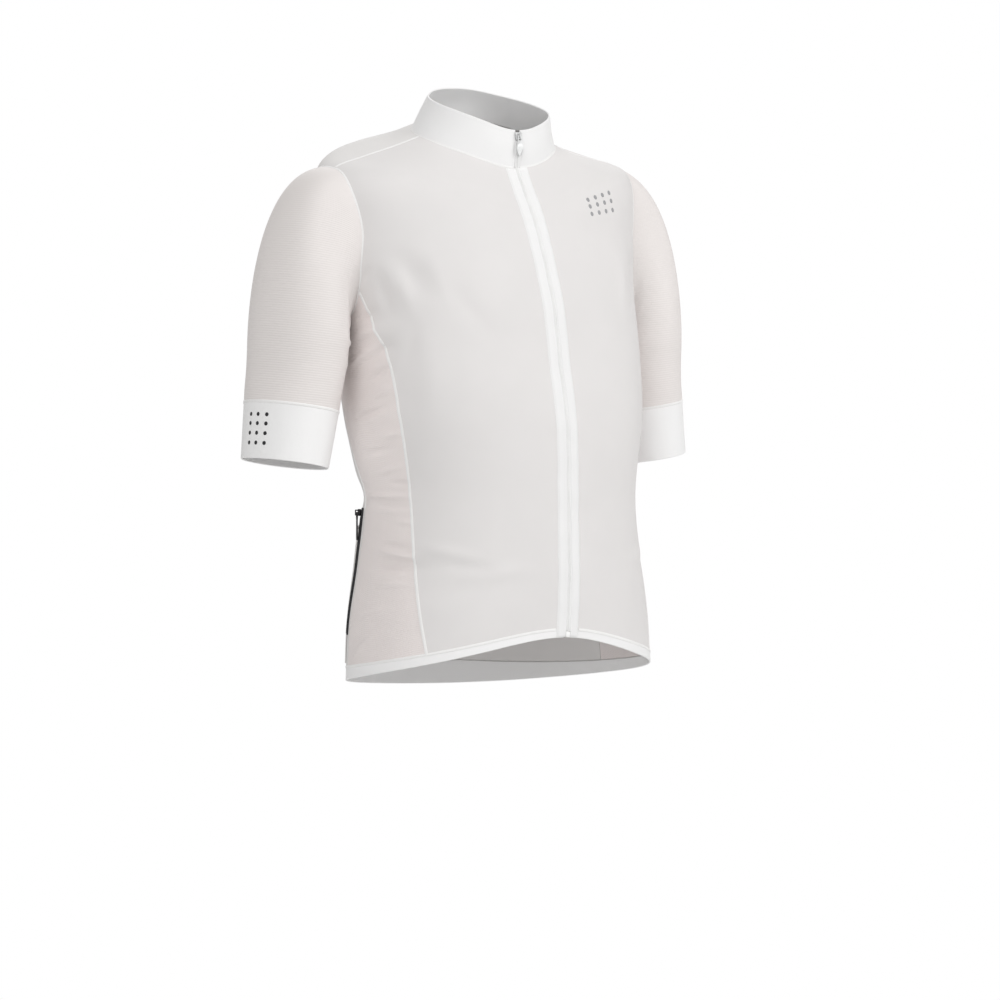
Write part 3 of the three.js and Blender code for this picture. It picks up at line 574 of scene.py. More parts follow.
def solid_grid(outer, inner, wrap):
    """Points, faces and face corners' flat places of a cloth wall with rounded edges."""
    u, v = arc_lengths(outer, 1), arc_lengths(outer, 0)
    if wrap:
        joint = np.linalg.norm(outer[:, :1] - outer[:, -1:], axis=-1) * MM
        u = np.concatenate([u, u[:, -1:] + joint], axis=1)
        v = np.concatenate([v, v[:, :1]], axis=1)
    rows, columns = outer.shape[:2]

    def rim(last):
        end, before = (-1, -2) if last else (0, 1)
        middle = (outer[end] + inner[end]) / 2
        thickness = np.linalg.norm(outer[end] - inner[end], axis=-1, keepdims=True)
        away = unit(outer[end] - outer[before])
        for side in (outer, inner):
            side[end] = side[end] - away * thickness * 0.4
        return middle

    outer, inner = outer.copy(), inner.copy()
    top, bottom = rim(True), rim(False)
    loops = np.concatenate([outer, top[None], inner[::-1], bottom[None]])
    loop_v = np.concatenate([v, v[-1:], v[::-1], v[:1]])
    loop_u = np.concatenate([u, u[-1:], u[::-1], u[:1]])
    count = len(loops)
    spans = columns if wrap else columns - 1
    i, j = np.meshgrid(np.arange(count), np.arange(spans), indexing="ij")
    i, j = i.ravel(), j.ravel()
    below = (i + 1) % count
    corners = [(i, j), (i, j + 1), (below, j + 1), (below, j)]
    faces = np.stack([a * columns + b % columns for a, b in corners], axis=-1)
    places = np.stack([np.stack([loop_u[a, b], loop_v[a, b]], axis=-1) for a, b in corners], axis=1)
    faces, places = list(faces.tolist()), list(places.tolist())
    if not wrap:
        for edge, flip in ((0, False), (columns - 1, True)):
            caps = [[r, r + 1, count - 3 - r, count - 2 - r] for r in range(rows - 1)]
            caps += [[rows - 1, rows, rows + 1], [count - 2, count - 1, 0]]
            for cap in caps:
                ring = cap if flip else cap[::-1]
                faces.append([r * columns + edge for r in ring])
                places.append([[loop_u[r, edge], loop_v[r, edge]] for r in ring])
    return loops.reshape(-1, 3) * MM, faces, places


def facing_out(points, faces):
    """Whether the faces of a closed shape point outwards."""
    triangles = np.array([(f[0], f[k], f[k + 1]) for f in faces for k in range(1, len(f) - 1)])
    a, b, c = (np.asarray(points)[triangles[:, k]] for k in range(3))
    return np.einsum("ij,ij->", a, np.cross(b, c)) > 0


def mesh_from(name, points, faces, places=None, sharp=50):
    mesh = bpy.data.meshes.new(name)
    mesh.from_pydata([tuple(p) for p in points], [], faces)
    if places is not None:
        layer = mesh.uv_layers.new(name="flat")
        layer.data.foreach_set("uv", np.array([spot for face in places for spot in face], float).ravel())
    mesh.polygons.foreach_set("use_smooth", [True] * len(mesh.polygons))
    mesh.set_sharp_from_angle(angle=math.radians(sharp))
    mesh.update()
    return mesh


def wall(name, outer, inner, finish, wrap=False):
    """A piece of cloth from grids of points on its two faces."""
    points, faces, places = solid_grid(outer, inner, wrap)
    if not facing_out(points, faces):
        faces = [face[::-1] for face in faces]
        places = [place[::-1] for place in places]
    made = link(name, mesh_from(name, points, faces, places))
    made.data.materials.append(finish)
    return made


def cut_size(outer, wrap=False, ease=1.0):
    """Flat width, length and area in metres of the cloth of a grid, as cut before it is stretched."""
    ring = np.concatenate([outer, outer[:, :1]], axis=1) if wrap else outer
    width = np.linalg.norm(np.diff(ring, axis=1), axis=-1).sum(axis=1).max() * MM / ease
    length = np.linalg.norm(np.diff(ring, axis=0), axis=-1).sum(axis=0).max() * MM
    sides = np.diff(ring, axis=1)[:-1], np.diff(ring, axis=0)[:, :-1]
    area = np.linalg.norm(np.cross(*sides), axis=-1).sum() * MM * MM / ease
    return float(width), float(length), float(min(area, width * length))


def declare(piece, outer, wrap=False, ease=1.0, hidden=0.0):
    """Makes a cloth piece ride on the garment; works out the size it was cut to, with any hidden width, but
    nothing uses it.
    """
    width, length, area = cut_size(outer, wrap, ease)
    width, area = width + hidden, area + hidden * length
    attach(piece, "garment")
    return piece


def cloth_piece(name, place, grid, thickness, finish, wrap=False,
                proud=0.0, ease=1.0):
    """One cloth piece from a surface function and its grid, in place of the node of the same name."""
    outer = place(*grid, proud)
    inner = place(*grid, proud - thickness)
    piece = wall(name + "_cloth", outer, inner, finish, wrap)
    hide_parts(name)
    return declare(piece, outer, wrap, ease)


class Line:
    """A line over the cloth, with the outward direction at each point."""

    def __init__(self, points, outward, closed=False):
        self.points = np.asarray(points, float)
        self.outward = unit(np.asarray(outward, float))
        self.closed = closed

    def tangent(self):
        if self.closed:
            return unit(np.roll(self.points, -1, axis=0) - np.roll(self.points, 1, axis=0))
        return unit(np.gradient(self.points, axis=0))

    def beside(self, distance, lift=0.0):
        """The same line moved sideways over the cloth and off it."""
        side = np.cross(self.tangent(), self.outward)
        return Line(self.points + side * distance + self.outward * lift, self.outward, self.closed)


def trunk_line(angle, height, proud=0.0, closed=False):
    angle, height = np.broadcast_arrays(np.asarray(angle, float), np.asarray(height, float))
    return Line(trunk_point(angle, height, proud), ring_normal(TRUNK, angle, height), closed)


def collar_line(angle, height, proud=0.0):
    angle, height = np.broadcast_arrays(np.asarray(angle, float), np.asarray(height, float))
    return Line(collar_point(angle, height, proud), ring_normal(COLLAR, angle, height))


def sleeve_line(turn, reach, sign, proud=0.0):
    closed = bool(np.ptp(turn) > 300)
    return Line(sleeve_point(turn, reach, sign, proud), sleeve_normal(turn, reach, sign), closed)


def ridge_parts(line, width, rise):
    """Points and faces of one raised seam, a low arch that follows a line."""
    half = width / 2
    profile = [(-half, -0.25), (-half, 0.15), (-0.62 * half, 0.8 * rise), (0, rise),
               (0.62 * half, 0.8 * rise), (half, 0.15), (half, -0.25)]
    side = np.cross(line.tangent(), line.outward)
    grid = np.stack([line.points + side * x + line.outward * y for x, y in profile], axis=1)
    count, around = grid.shape[:2]
    faces = []
    for i in range(count if line.closed else count - 1):
        for j in range(around):
            a, b = i * around, ((i + 1) % count) * around
            k = (j + 1) % around
            faces.append([a + j, a + k, b + k, b + j])
    if not line.closed:
        faces += [list(range(around))[::-1], [(count - 1) * around + j for j in range(around)]]
    return grid.reshape(-1, 3) * MM, faces


def seam_piece(name, lines, width, rise, finish):
    """Raised seams along several lines, as one piece."""
    points, faces, start = [], [], 0
    for line in lines:
        p, f = ridge_parts(line, width, rise)
        if not facing_out(p, f):
            f = [face[::-1] for face in f]
        points.extend(p.tolist())
        faces.extend([[k + start for k in face] for face in f])
        start = len(points)
    piece = link(name, mesh_from(name, points, faces))
    piece.data.materials.append(finish)
    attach(piece, "garment")
    return piece


# Geometry Nodes: small shapes at even steps along lines


class Tree:
    """Adds nodes to a Geometry Nodes tree and links them."""

    def __init__(self, name):
        self.tree = bpy.data.node_groups.new(name, "GeometryNodeTree")

    def socket(self, name, kind, default=None, out=False):
        made = self.tree.interface.new_socket(
            name, in_out="OUTPUT" if out else "INPUT", socket_type=f"NodeSocket{kind}"
        )
        if default is not None:
            made.default_value = default

    def node(self, kind, inputs=None, **settings):
        made = self.tree.nodes.new(kind)
        for name, value in settings.items():
            setattr(made, name, value)
        for key, value in (inputs or {}).items():
            if isinstance(value, bpy.types.NodeSocket):
                self.tree.links.new(value, made.inputs[key])
            else:
                made.inputs[key].default_value = value
        return made


def bead_tree():
    """Beads along a line: every step along it gets a rounded bead, turned to the line and the surface."""
    t = Tree("Beads along a line")
    t.socket("Geometry", "Geometry")
    for name, default in (("Pitch", 2.5 * MM), ("Length", 2 * MM), ("Width", 0.5 * MM),
                          ("Height", 0.4 * MM), ("Slant", 0.0)):
        t.socket(name, "Float", default)
    t.socket("Segments", "Int", 6)
    t.socket("Finish", "Material")
    t.socket("Geometry", "Geometry", out=True)
    given = t.node("NodeGroupInput").outputs
    curve = t.node("GeometryNodeMeshToCurve", {"Mesh": given["Geometry"]}).outputs[0]
    even = t.node("GeometryNodeResampleCurve", {"Curve": curve, "Length": given["Pitch"]}, mode="LENGTH")
    outward = t.node("GeometryNodeInputNamedAttribute", {"Name": "outward"}, data_type="FLOAT_VECTOR")
    upright = t.node("FunctionNodeAlignRotationToVector", {"Vector": outward.outputs["Attribute"]}, axis="Z")
    tangent = t.node("GeometryNodeInputTangent").outputs[0]
    lined = t.node(
        "FunctionNodeAlignRotationToVector",
        {"Rotation": upright.outputs[0], "Vector": tangent}, axis="X", pivot_axis="Z",
    )
    slant = t.node("ShaderNodeCombineXYZ", {"Z": given["Slant"]}).outputs[0]
    turn = t.node("FunctionNodeEulerToRotation", {0: slant}).outputs[0]
    turned = t.node(
        "FunctionNodeRotateRotation", {"Rotation": lined.outputs[0], "Rotate By": turn}, rotation_space="LOCAL"
    )
    size = t.node(
        "ShaderNodeCombineXYZ", {"X": given["Length"], "Y": given["Width"], "Z": given["Height"]}
    ).outputs[0]
    bead = t.node("GeometryNodeMeshUVSphere", {"Segments": given["Segments"], "Rings": 4, "Radius": 0.5})
    placed = t.node(
        "GeometryNodeInstanceOnPoints",
        {"Points": even.outputs[0], "Instance": bead.outputs["Mesh"], "Rotation": turned.outputs[0],
         "Scale": size},
    )
    whole = t.node("GeometryNodeRealizeInstances", {"Geometry": placed.outputs[0]})
    done = t.node("GeometryNodeSetMaterial", {"Geometry": whole.outputs[0], "Material": given["Finish"]})
    t.node("NodeGroupOutput", {"Geometry": done.outputs[0]})
    return t.tree


def beads(name, lines, finish, pitch, length, width, height, slant=0.0, segments=6):
    """A plain mesh of beads along lines, made by the tree and then freed of it."""
    points, edges, outward = [], [], []
    for line in lines:
        start = len(points)
        points.extend((line.points * MM).tolist())
        outward.extend(line.outward.tolist())
        count = len(line.points)
        edges.extend([(start + k, start + k + 1) for k in range(count - 1)])
        if line.closed:
            edges.append((start + count - 1, start))
    mesh = bpy.data.meshes.new(name + "_line")
    mesh.from_pydata(points, edges, [])
    mesh.attributes.new("outward", "FLOAT_VECTOR", "POINT").data.foreach_set("vector", np.ravel(outward))
    piece = link(name, mesh)
    tree = bpy.data.node_groups.get("Beads along a line") or bead_tree()
    modifier = piece.modifiers.new("Beads", "NODES")
    modifier.node_group = tree
    given = {"Pitch": pitch * MM, "Length": length * MM, "Width": width * MM, "Height": height * MM,
             "Slant": math.radians(slant), "Segments": segments, "Finish": finish}
    for item in tree.interface.items_tree:
        if item.item_type == "SOCKET" and item.in_out == "INPUT" and item.name in given:
            modifier[item.identifier] = given[item.name]
    made = bpy.data.meshes.new_from_object(piece.evaluated_get(bpy.context.evaluated_depsgraph_get()))
    piece.modifiers.remove(modifier)
    piece.data = made
    bpy.data.meshes.remove(mesh)
    made.name = name
    made.polygons.foreach_set("use_smooth", [True] * len(made.polygons))
    if not made.materials:
        made.materials.append(finish)
    return piece


# Materials


class Wire:
    """A shader socket that Python's operators work on, by adding Math nodes."""

    def __init__(self, finish, socket):
        self.finish = finish
        self.socket = socket

    def math(self, operation, *values):
        return self.finish.node("ShaderNodeMath", {"operation": operation}, dict(enumerate(values)))

    def __add__(self, other):
        return self.math("ADD", self, other)

    def __radd__(self, other):
        return self.math("ADD", other, self)

    def __sub__(self, other):
        return self.math("SUBTRACT", self, other)

    def __rsub__(self, other):
        return self.math("SUBTRACT", other, self)

    def __mul__(self, other):
        return self.math("MULTIPLY", self, other)

    def __rmul__(self, other):
        return self.math("MULTIPLY", other, self)

    def __truediv__(self, other):
        return self.math("DIVIDE", self, other)

    def __pow__(self, other):
        return self.math("POWER", self, other)

    def sin(self):
        return self.math("SINE", self)

    def wave(self, pitch, shift=0.0):
        """Runs from 0 to 1 and back over each pitch."""
        return (self * (2 * math.pi / pitch) + shift).sin() * 0.5 + 0.5

    def between(self, low, high):
        """0 below low, 1 above high and smooth from one to the other."""
        node = {"interpolation_type": "SMOOTHSTEP"}
        return self.finish.node("ShaderNodeMapRange", node, {"Value": self, "From Min": low, "From Max": high})


class Finish:
    """One material and the nodes that it is made of."""

    def __init__(self, name, **constants):
        self.material = bpy.data.materials.new(name)
        self.material.use_nodes = True
        self.tree = self.material.node_tree
        self.shader = self.tree.nodes["Principled BSDF"]
        for key, value in constants.items():
            self.shader.inputs[key.replace("_", " ")].default_value = value

    def node(self, kind, settings=None, inputs=None, out=0):
        """Adds a node, sets it, gives its sockets their values or links, and returns one output."""
        made = self.tree.nodes.new(kind)
        for name, value in (settings or {}).items():
            if name == "stops":
                self.set_stops(made.color_ramp, value)
            else:
                setattr(made, name, value)
        for key, value in (inputs or {}).items():
            self.give(made.inputs[key], value)
        return Wire(self, made.outputs[out])

    def give(self, socket, value):
        if isinstance(value, Wire):
            self.tree.links.new(value.socket, socket)
        else:
            socket.default_value = value

    @staticmethod
    def set_stops(ramp, stops):
        while len(ramp.elements) < len(stops):
            ramp.elements.new(1.0)
        for element, (place, colour) in zip(ramp.elements, stops):
            element.position = place
            element.color = (*colour, 1)

    def flat_places(self):
        """The piece's own flat map, in metres across and along the cloth."""
        spot = self.node("ShaderNodeUVMap", {"uv_map": "flat"})
        parts = self.node("ShaderNodeSeparateXYZ", None, {0: spot})
        return parts, Wire(self, parts.socket.node.outputs[1])

    def places(self):
        return self.node("ShaderNodeTexCoord", None, None, "Object")

    def noise(self, scale, detail=2.0, vector=None):
        given = {"Vector": vector or self.places(), "Scale": scale, "Detail": detail}
        return self.node("ShaderNodeTexNoise", None, given, "Fac")

    def blend(self, factor, a, b):
        """One colour turning into another by a factor from 0 to 1."""
        made = self.tree.nodes.new("ShaderNodeMix")
        made.data_type = "RGBA"
        for key, value in (("Factor", factor), ("A", a), ("B", b)):
            socket = next(s for s in made.inputs if s.name == key and s.type in ("VALUE", "RGBA")
                          and (s.type == "RGBA") == (key != "Factor"))
            self.give(socket, value if isinstance(value, Wire) or key == "Factor" else (*value, 1))
        return Wire(self, next(s for s in made.outputs if s.type == "RGBA"))

    def bump(self, height, distance, strength=1.0):
        given = {"Strength": strength, "Distance": distance, "Height": height}
        self.give(self.shader.inputs["Normal"], self.node("ShaderNodeBump", None, given, "Normal"))

    def colour(self, value):
        self.give(self.shader.inputs["Base Color"], value if isinstance(value, Wire) else (*value, 1))

    def rough(self, value):
        self.give(self.shader.inputs["Roughness"], value)


def shaded(colour, share):
    return tuple(channel * share for channel in colour)


def cloth_constants():
    return {"Sheen_Weight": 0.12, "Sheen_Roughness": 0.5, "Specular_IOR_Level": 0.25}


def knit(name, colour, stitch=0.9 * MM, rib=0.0, rib_shade=0.97, depth=0.00012):
    """Fine knitted cloth, with ribs across it at a pitch where one is given."""
    f = Finish(name, **cloth_constants())
    u, v = f.flat_places()
    loops = u.wave(stitch) * v.wave(stitch * 1.2, 1.1)
    uneven = f.noise(14, 3)
    tone = f.blend(uneven.between(0.3, 0.7), shaded(colour, 0.975), colour)
    height = loops * 0.5
    if rib:
        ribs = v.wave(rib)
        tone = f.blend(ribs, shaded(colour, rib_shade), tone)
        height = height * 0.5 + ribs
    f.colour(f.blend(loops * 0.22, tone, shaded(colour, 0.93)))
    f.rough(uneven * 0.12 + 0.72)
    f.bump(height, depth, 0.6)
    return f.material


def open_mesh(name, colour, hole_shade_colour, pitch=2.3 * MM):
    """Sheer side cloth with rows of small staggered holes, shown as darker sunk dots: their darker, pinker
    colour is painted shade from inside the jersey, with the tint of the skin behind.
    """
    f = Finish(name, **cloth_constants())
    u, v = f.flat_places()
    step = 2 * math.pi / pitch
    holes = (u * step).math("COSINE", u * step) * (v * (step / 1.732)).math("COSINE", v * (step / 1.732))
    dots = holes.math("ABSOLUTE", holes).between(0.42, 0.86)
    uneven = f.noise(11, 3)
    tone = f.blend(uneven.between(0.3, 0.7), shaded(colour, 0.965), colour)
    # The holes get painted shade from inside the jersey, with the tint of the skin behind them.
    f.colour(f.blend(dots, tone, hole_shade_colour))
    f.rough(dots * 0.1 + 0.74)
    f.bump(1 - dots, 0.0004, 0.7)
    return f.material


def elastic(name, colour, pitch=1.1 * MM):
    """Smooth raw-cut elastic cloth with a fine lengthwise cord."""
    f = Finish(name, **cloth_constants())
    u, v = f.flat_places()
    cords = u.wave(pitch)
    uneven = f.noise(12, 2)
    f.colour(f.blend(cords * 0.3, colour, shaded(colour, 0.95)))
    f.rough(uneven * 0.1 + 0.62)
    f.bump(cords + v.wave(0.7 * MM) * 0.3, 0.00015, 0.5)
    return f.material


def woven(name, colour, pitch=1.0 * MM, rough=0.65):
    """Woven tape with a herringbone in two directions."""
    f = Finish(name, **cloth_constants())
    u, v = f.flat_places()
    zigzag = u.math("PINGPONG", u, 2 * MM)
    twill = (v + zigzag).wave(pitch)
    f.colour(f.blend(twill * 0.35, colour, shaded(colour, 0.9)))
    f.rough(twill * 0.08 + rough)
    f.bump(twill, 0.0002, 0.6)
    return f.material


def thread(name, colour):
    """Sewing thread, matt with a fine twist."""
    f = Finish(name, **cloth_constants())
    uneven = f.noise(900, 2)
    f.colour(f.blend(uneven, shaded(colour, 0.94), colour))
    f.rough(uneven * 0.15 + 0.6)
    f.bump(uneven, 0.00008, 0.4)
    return f.material


def plastic(name, colour, rough=0.42):
    """Moulded plastic with a faint grain."""
    f = Finish(name, Specular_IOR_Level=0.45)
    grain = f.noise(1400, 2)
    f.colour(f.blend(f.noise(60, 2).between(0.35, 0.65), shaded(colour, 0.96), colour))
    f.rough(grain * 0.12 + rough)
    f.bump(grain, 0.00004, 0.35)
    return f.material


def metal(name, colour, rough=0.3):
    """Painted metal with a satin surface and slight handling marks."""
    f = Finish(name, Metallic=0.25)
    marks = f.noise(420, 4)
    f.colour(f.blend(marks.between(0.4, 0.75), colour, shaded(colour, 0.9)))
    f.rough(marks * 0.25 + rough)
    f.bump(marks, 0.00003, 0.4)
    return f.material


def print_ink(name, colour, rough=0.5):
    """A raised rubbery print."""
    f = Finish(name, Specular_IOR_Level=0.4)
    grain = f.noise(700, 2)
    f.colour(f.blend(grain, shaded(colour, 0.9), colour))
    f.rough(grain * 0.15 + rough)
    f.bump(grain, 0.00003, 0.3)
    return f.material


MAKERS = {
    "Front knit": lambda s: knit("Front knit", tuple(s.main_colour)),
    "Sleeve rib knit": lambda s: knit("Sleeve rib knit", tuple(s.sleeve_colour), rib=2.4 * MM, rib_shade=0.985),
    "Back knit": lambda s: knit("Back knit", tuple(s.back_colour), stitch=1.1 * MM),
    "Side mesh": lambda s: open_mesh("Side mesh", tuple(s.side_colour), tuple(s.hole_shade_colour)),
    "Band elastic": lambda s: elastic("Band elastic", tuple(s.band_colour)),
    "Seam thread": lambda s: thread("Seam thread", tuple(s.seam_colour)),
    "Zip tape weave": lambda s: woven("Zip tape weave", tuple(s.band_colour)),
    "Zip plastic": lambda s: plastic("Zip plastic", tuple(s.zip_colour)),
    "Zip metal": lambda s: metal("Zip metal", tuple(s.pull_colour)),
    "Dark tape weave": lambda s: woven("Dark tape weave", tuple(s.dark_colour)),
    "Dark plastic": lambda s: plastic("Dark plastic", tuple(s.dark_colour), 0.4),
    "Dark metal": lambda s: metal("Dark metal", tuple(s.dark_colour), 0.35),
    "Dark thread": lambda s: thread("Dark thread", tuple(s.dark_colour)),
    "Dark print": lambda s: print_ink("Dark print", tuple(s.dark_colour)),
    "Grey print": lambda s: print_ink("Grey print", tuple(s.print_colour)),
}


def finish_named(name):
    """A material, made when it is first asked for."""
    return bpy.data.materials.get(name) or MAKERS[name](bpy.context.scene.jersey_finish)


# Settings


def length_setting(name, about, default):
    return bpy.props.FloatProperty(name=name, description=about, default=default * MM, unit="LENGTH", min=0)


def power_setting(name, about, default):
    return bpy.props.FloatProperty(name=name, description=about, default=default, unit="POWER")


def colour_setting(name, about, default):
    return bpy.props.FloatVectorProperty(
        name=name, description=about, default=default, subtype="COLOR", size=3, min=0, max=1
    )


class JerseySizes(bpy.types.PropertyGroup):
    """Sizes of cloth, seams and stitches."""

    cloth: length_setting("Cloth", "Thickness of the knitted panels", 1.0)
    band: length_setting("Band", "Thickness of the sleeve bands and hem", 1.6)
    collar: length_setting("Collar", "Thickness of the collar", 1.8)
    tape: length_setting("Tape", "Thickness of the zip tapes", 0.8)
    seam_width: length_setting("Seam width", "Width of a raised seam", 3.0)
    seam_rise: length_setting("Seam rise", "How far a seam stands out of the cloth", 0.55)
    stitch: length_setting("Stitch", "Distance from one stitch to the next", 2.4)
    tooth_pitch: length_setting("Tooth pitch", "Distance from one zip tooth to the next", 1.3)
    dot: length_setting("Dot", "Width of a printed dot", 4.2)


class JerseyFinish(bpy.types.PropertyGroup):
    """Colours of cloth, thread, zips and prints."""

    main_colour: colour_setting("Main cloth", "The two fronts", (0.765, 0.748, 0.742))
    sleeve_colour: colour_setting("Sleeve cloth", "The two sleeves", (0.80, 0.762, 0.746))
    back_colour: colour_setting("Back cloth", "Back and pockets", (0.765, 0.75, 0.74))
    side_colour: colour_setting("Side mesh", "Side panels", (0.90, 0.845, 0.83))
    # The holes' colour is painted shade from inside the jersey, with the tint of the skin behind them.
    hole_shade_colour: colour_setting("Mesh holes", "What shows in the side panels' holes", (0.85, 0.78, 0.762))
    band_colour: colour_setting("Bands", "Collar, hem, sleeve bands and zip tape", (0.905, 0.905, 0.905))
    seam_colour: colour_setting("Seams", "Seams and thread", (0.90, 0.895, 0.89))
    zip_colour: colour_setting("Zip", "Teeth and box of the front zip", (0.94, 0.94, 0.935))
    pull_colour: colour_setting("Pull", "Slider and pull of the front zip", (0.74, 0.75, 0.75))
    dark_colour: colour_setting("Dark parts", "Pocket zip and dark print", (0.022, 0.022, 0.025))
    print_colour: colour_setting("Grey print", "Reflective mark on the chest", (0.36, 0.365, 0.375))


class JerseyStudio(bpy.types.PropertyGroup):
    """Camera, lights and floor."""

    azimuth: bpy.props.FloatProperty(
        name="Azimuth", description="Where the camera stands round the jersey", default=math.radians(-38),
        subtype="ANGLE",
    )
    elevation: bpy.props.FloatProperty(
        name="Elevation", description="How far the camera looks down", default=math.radians(2), subtype="ANGLE"
    )
    distance: length_setting("Distance", "From the camera to the jersey", 3750)
    lens: bpy.props.FloatProperty(
        name="Lens", description="Focal length on a 36 mm sensor", default=129.6, unit="CAMERA"
    )
    aim_right: length_setting("Aim to the right", "The view's centre beside the jersey's axis", 15.6)
    aim_below: length_setting("Aim below", "The view's centre below the neckline", 377.5)
    floor: length_setting("Floor", "The floor's depth below the neckline", 1450)
    ambient: bpy.props.FloatProperty(
        name="Ambient", description="Strength of the soft light all round", default=0.46
    )
    key: power_setting("Key", "Power of the large soft lamp", 112.0)
    fill: power_setting("Fill", "Power of the second lamp", 82.0)
    back: power_setting("Back", "Power of the lamp behind", 70.0)


def sizes():
    return bpy.context.scene.jersey_sizes


def mm(value):
    return value / MM


# Operators


class BuildBody(bpy.types.Operator):
    """Make the two fronts, the two side panels and the back"""

    bl_idname = "jersey.build_body"
    bl_label = "Body panels"

    def execute(self, context):
        cloth = mm(sizes().cloth)
        for side, sign in (("right", -1), ("left", 1)):
            def place(angle, height, proud, sign=sign):
                return trunk_point(sign * angle, height, proud)

            cloth_piece(f"front_{side}", place, panel_grid("frontSeam", 64), cloth,
                        finish_named("Front knit"), ease=BODY_EASE)
            cloth_piece(f"side_panel_{side}", place, side_grid(), cloth,
                        finish_named("Side mesh"), ease=BODY_EASE)
        cloth_piece("back", trunk_point, panel_grid("backSeam", 132), cloth,
                    finish_named("Back knit"), ease=BODY_EASE)
        return {"FINISHED"}


class BuildSleeves(bpy.types.Operator):
    """Make the two sleeves and their elastic bands"""

    bl_idname = "jersey.build_sleeves"
    bl_label = "Sleeves"

    def execute(self, context):
        turns = turns_round(112)
        for side, sign in (("right", -1), ("left", 1)):
            def place(turn, reach, proud, sign=sign):
                return sleeve_point(turn, reach, sign, proud)

            near = np.linspace(0.004, 1, 64)
            far = np.linspace(1, BAND_TOP - 0.006, 64)[1:]
            sleeve = np.meshgrid(turns, np.concatenate([near, far]))
            cloth_piece(f"sleeve_{side}", place, sleeve, mm(sizes().cloth), finish_named("Sleeve rib knit"),
                        wrap=True, ease=SLEEVE_EASE)
            band = np.meshgrid(turns, np.linspace(BAND_TOP, BAND_EDGE, 26))
            cloth_piece(f"sleeve_band_{side}", place, band, mm(sizes().band), finish_named("Band elastic"),
                        wrap=True, ease=BAND_EASE)
        return {"FINISHED"}


class BuildBands(bpy.types.Operator):
    """Make the stand collar and the gripper hem"""

    bl_idname = "jersey.build_bands"
    bl_label = "Collar and hem"

    def execute(self, context):
        heights = np.linspace(SEAM_GAP / 2, COLLAR_TOP, 26)[:, None]
        edge = collar_sideways(COLLAR_EDGE, heights)
        angles = mix(edge, 360 - edge, np.linspace(0, 1, 190))
        grid = np.broadcast_arrays(angles, heights)
        cloth_piece("collar", collar_point, grid, mm(sizes().collar), finish_named("Band elastic"))
        start = trunk_sideways(EDGE_HALF, 0)
        angles = np.linspace(start, 360 - start, 320)
        share = np.linspace(0, 1, 14)[:, None]
        grid = np.broadcast_arrays(angles, share * (hem_width(angles) - SEAM_GAP / 2))
        cloth_piece("hem_band", trunk_point, grid, mm(sizes().band), finish_named("Band elastic"),
                    ease=HEM_EASE)
        return {"FINISHED"}


def pocket_top(column):
    """The row of the pocket panel's top edge, higher in the middle."""
    across = (column - POCKET_FROM) / (POCKET_TO - POCKET_FROM)
    return mix(POCKET_SIDE, POCKET_MIDDLE, np.sin(np.pi * across))


def pocket_ease(column):
    """How far the pocket cloth stands open between its rows of stitches, from 0 to 1."""
    bounds = [POCKET_FROM, *POCKET_DIVISIONS, POCKET_TO]
    opening = np.zeros_like(column, float)
    for start, end in zip(bounds, bounds[1:]):
        share = np.clip((column - start) / (end - start), 0, 1)
        opening = np.maximum(opening, np.sin(np.pi * share) ** 0.7)
    return opening


class BuildPockets(bpy.types.Operator):
    """Make the rear pocket panel, open along its top edge"""

    bl_idname = "jersey.build_pockets"
    bl_label = "Rear pockets"

    def execute(self, context):
        columns = np.linspace(POCKET_FROM, POCKET_TO, 121)[None, :]
        share = np.linspace(0, 1, 56)[:, None]
        rows = mix(POCKET_FOOT, pocket_top(columns), share)
        lift = LIFT + POCKET_EASE * pocket_ease(columns) * np.minimum(1, share * 5 / 3)
        cloth = mm(sizes().cloth)
        outer, inner = on_back(columns, rows, lift + cloth), on_back(columns, rows, lift)
        piece = wall("pocket_panel_cloth", outer, inner, finish_named("Back knit"))
        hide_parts("pocket_panel")
        declare(piece, outer, ease=BODY_EASE)
        return {"FINISHED"}


def smoothed_copy(node, name, finish, bevel):
    """A frame node's shape with its edges rounded, in place of the node."""
    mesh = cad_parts[node].data.copy()
    shape = bmesh.new()
    shape.from_mesh(mesh)
    bmesh.ops.remove_doubles(shape, verts=shape.verts, dist=0.002 * MM)
    bmesh.ops.dissolve_limit(shape, angle_limit=math.radians(2), verts=shape.verts, edges=shape.edges)
    edges = [e for e in shape.edges if e.is_manifold and e.calc_face_angle() > math.radians(25)]
    bmesh.ops.bevel(shape, geom=edges, offset=bevel * MM, segments=2, affect="EDGES", clamp_overlap=True)
    bmesh.ops.recalc_face_normals(shape, faces=shape.faces)
    shape.to_mesh(mesh)
    shape.free()
    mesh.materials.clear()
    mesh.materials.append(finish)
    mesh.polygons.foreach_set("use_smooth", [True] * len(mesh.polygons))
    mesh.set_sharp_from_angle(angle=math.radians(40))
    piece = link(name, mesh)
    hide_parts(node)
    return piece


def hard_piece(node, name, finish, body, bevel=0.25):
    piece = smoothed_copy(node, name, finish_named(finish), bevel)
    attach(piece, body)
    return piece


def garment_beads(name, lines, finish, slot, **sizes_given):
    piece = beads(name, lines, finish_named(finish), **sizes_given)
    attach(piece, "garment")
    return piece


def zip_line(reach, proud):
    """A line up the front zip, on the trunk and then the collar."""
    low = np.linspace(BOX_HEIGHT + 0.5, NECKLINE, 240)
    high = np.linspace(0.8, CHAIN_TOP, 20)
    trunk, collar = trunk_sideways(reach, low), collar_sideways(reach, high)
    points = np.concatenate([trunk_point(trunk, low, proud), collar_point(collar, high, proud)])
    outward = np.concatenate([ring_normal(TRUNK, trunk, low), ring_normal(COLLAR, collar, high)])
    return Line(points, outward)


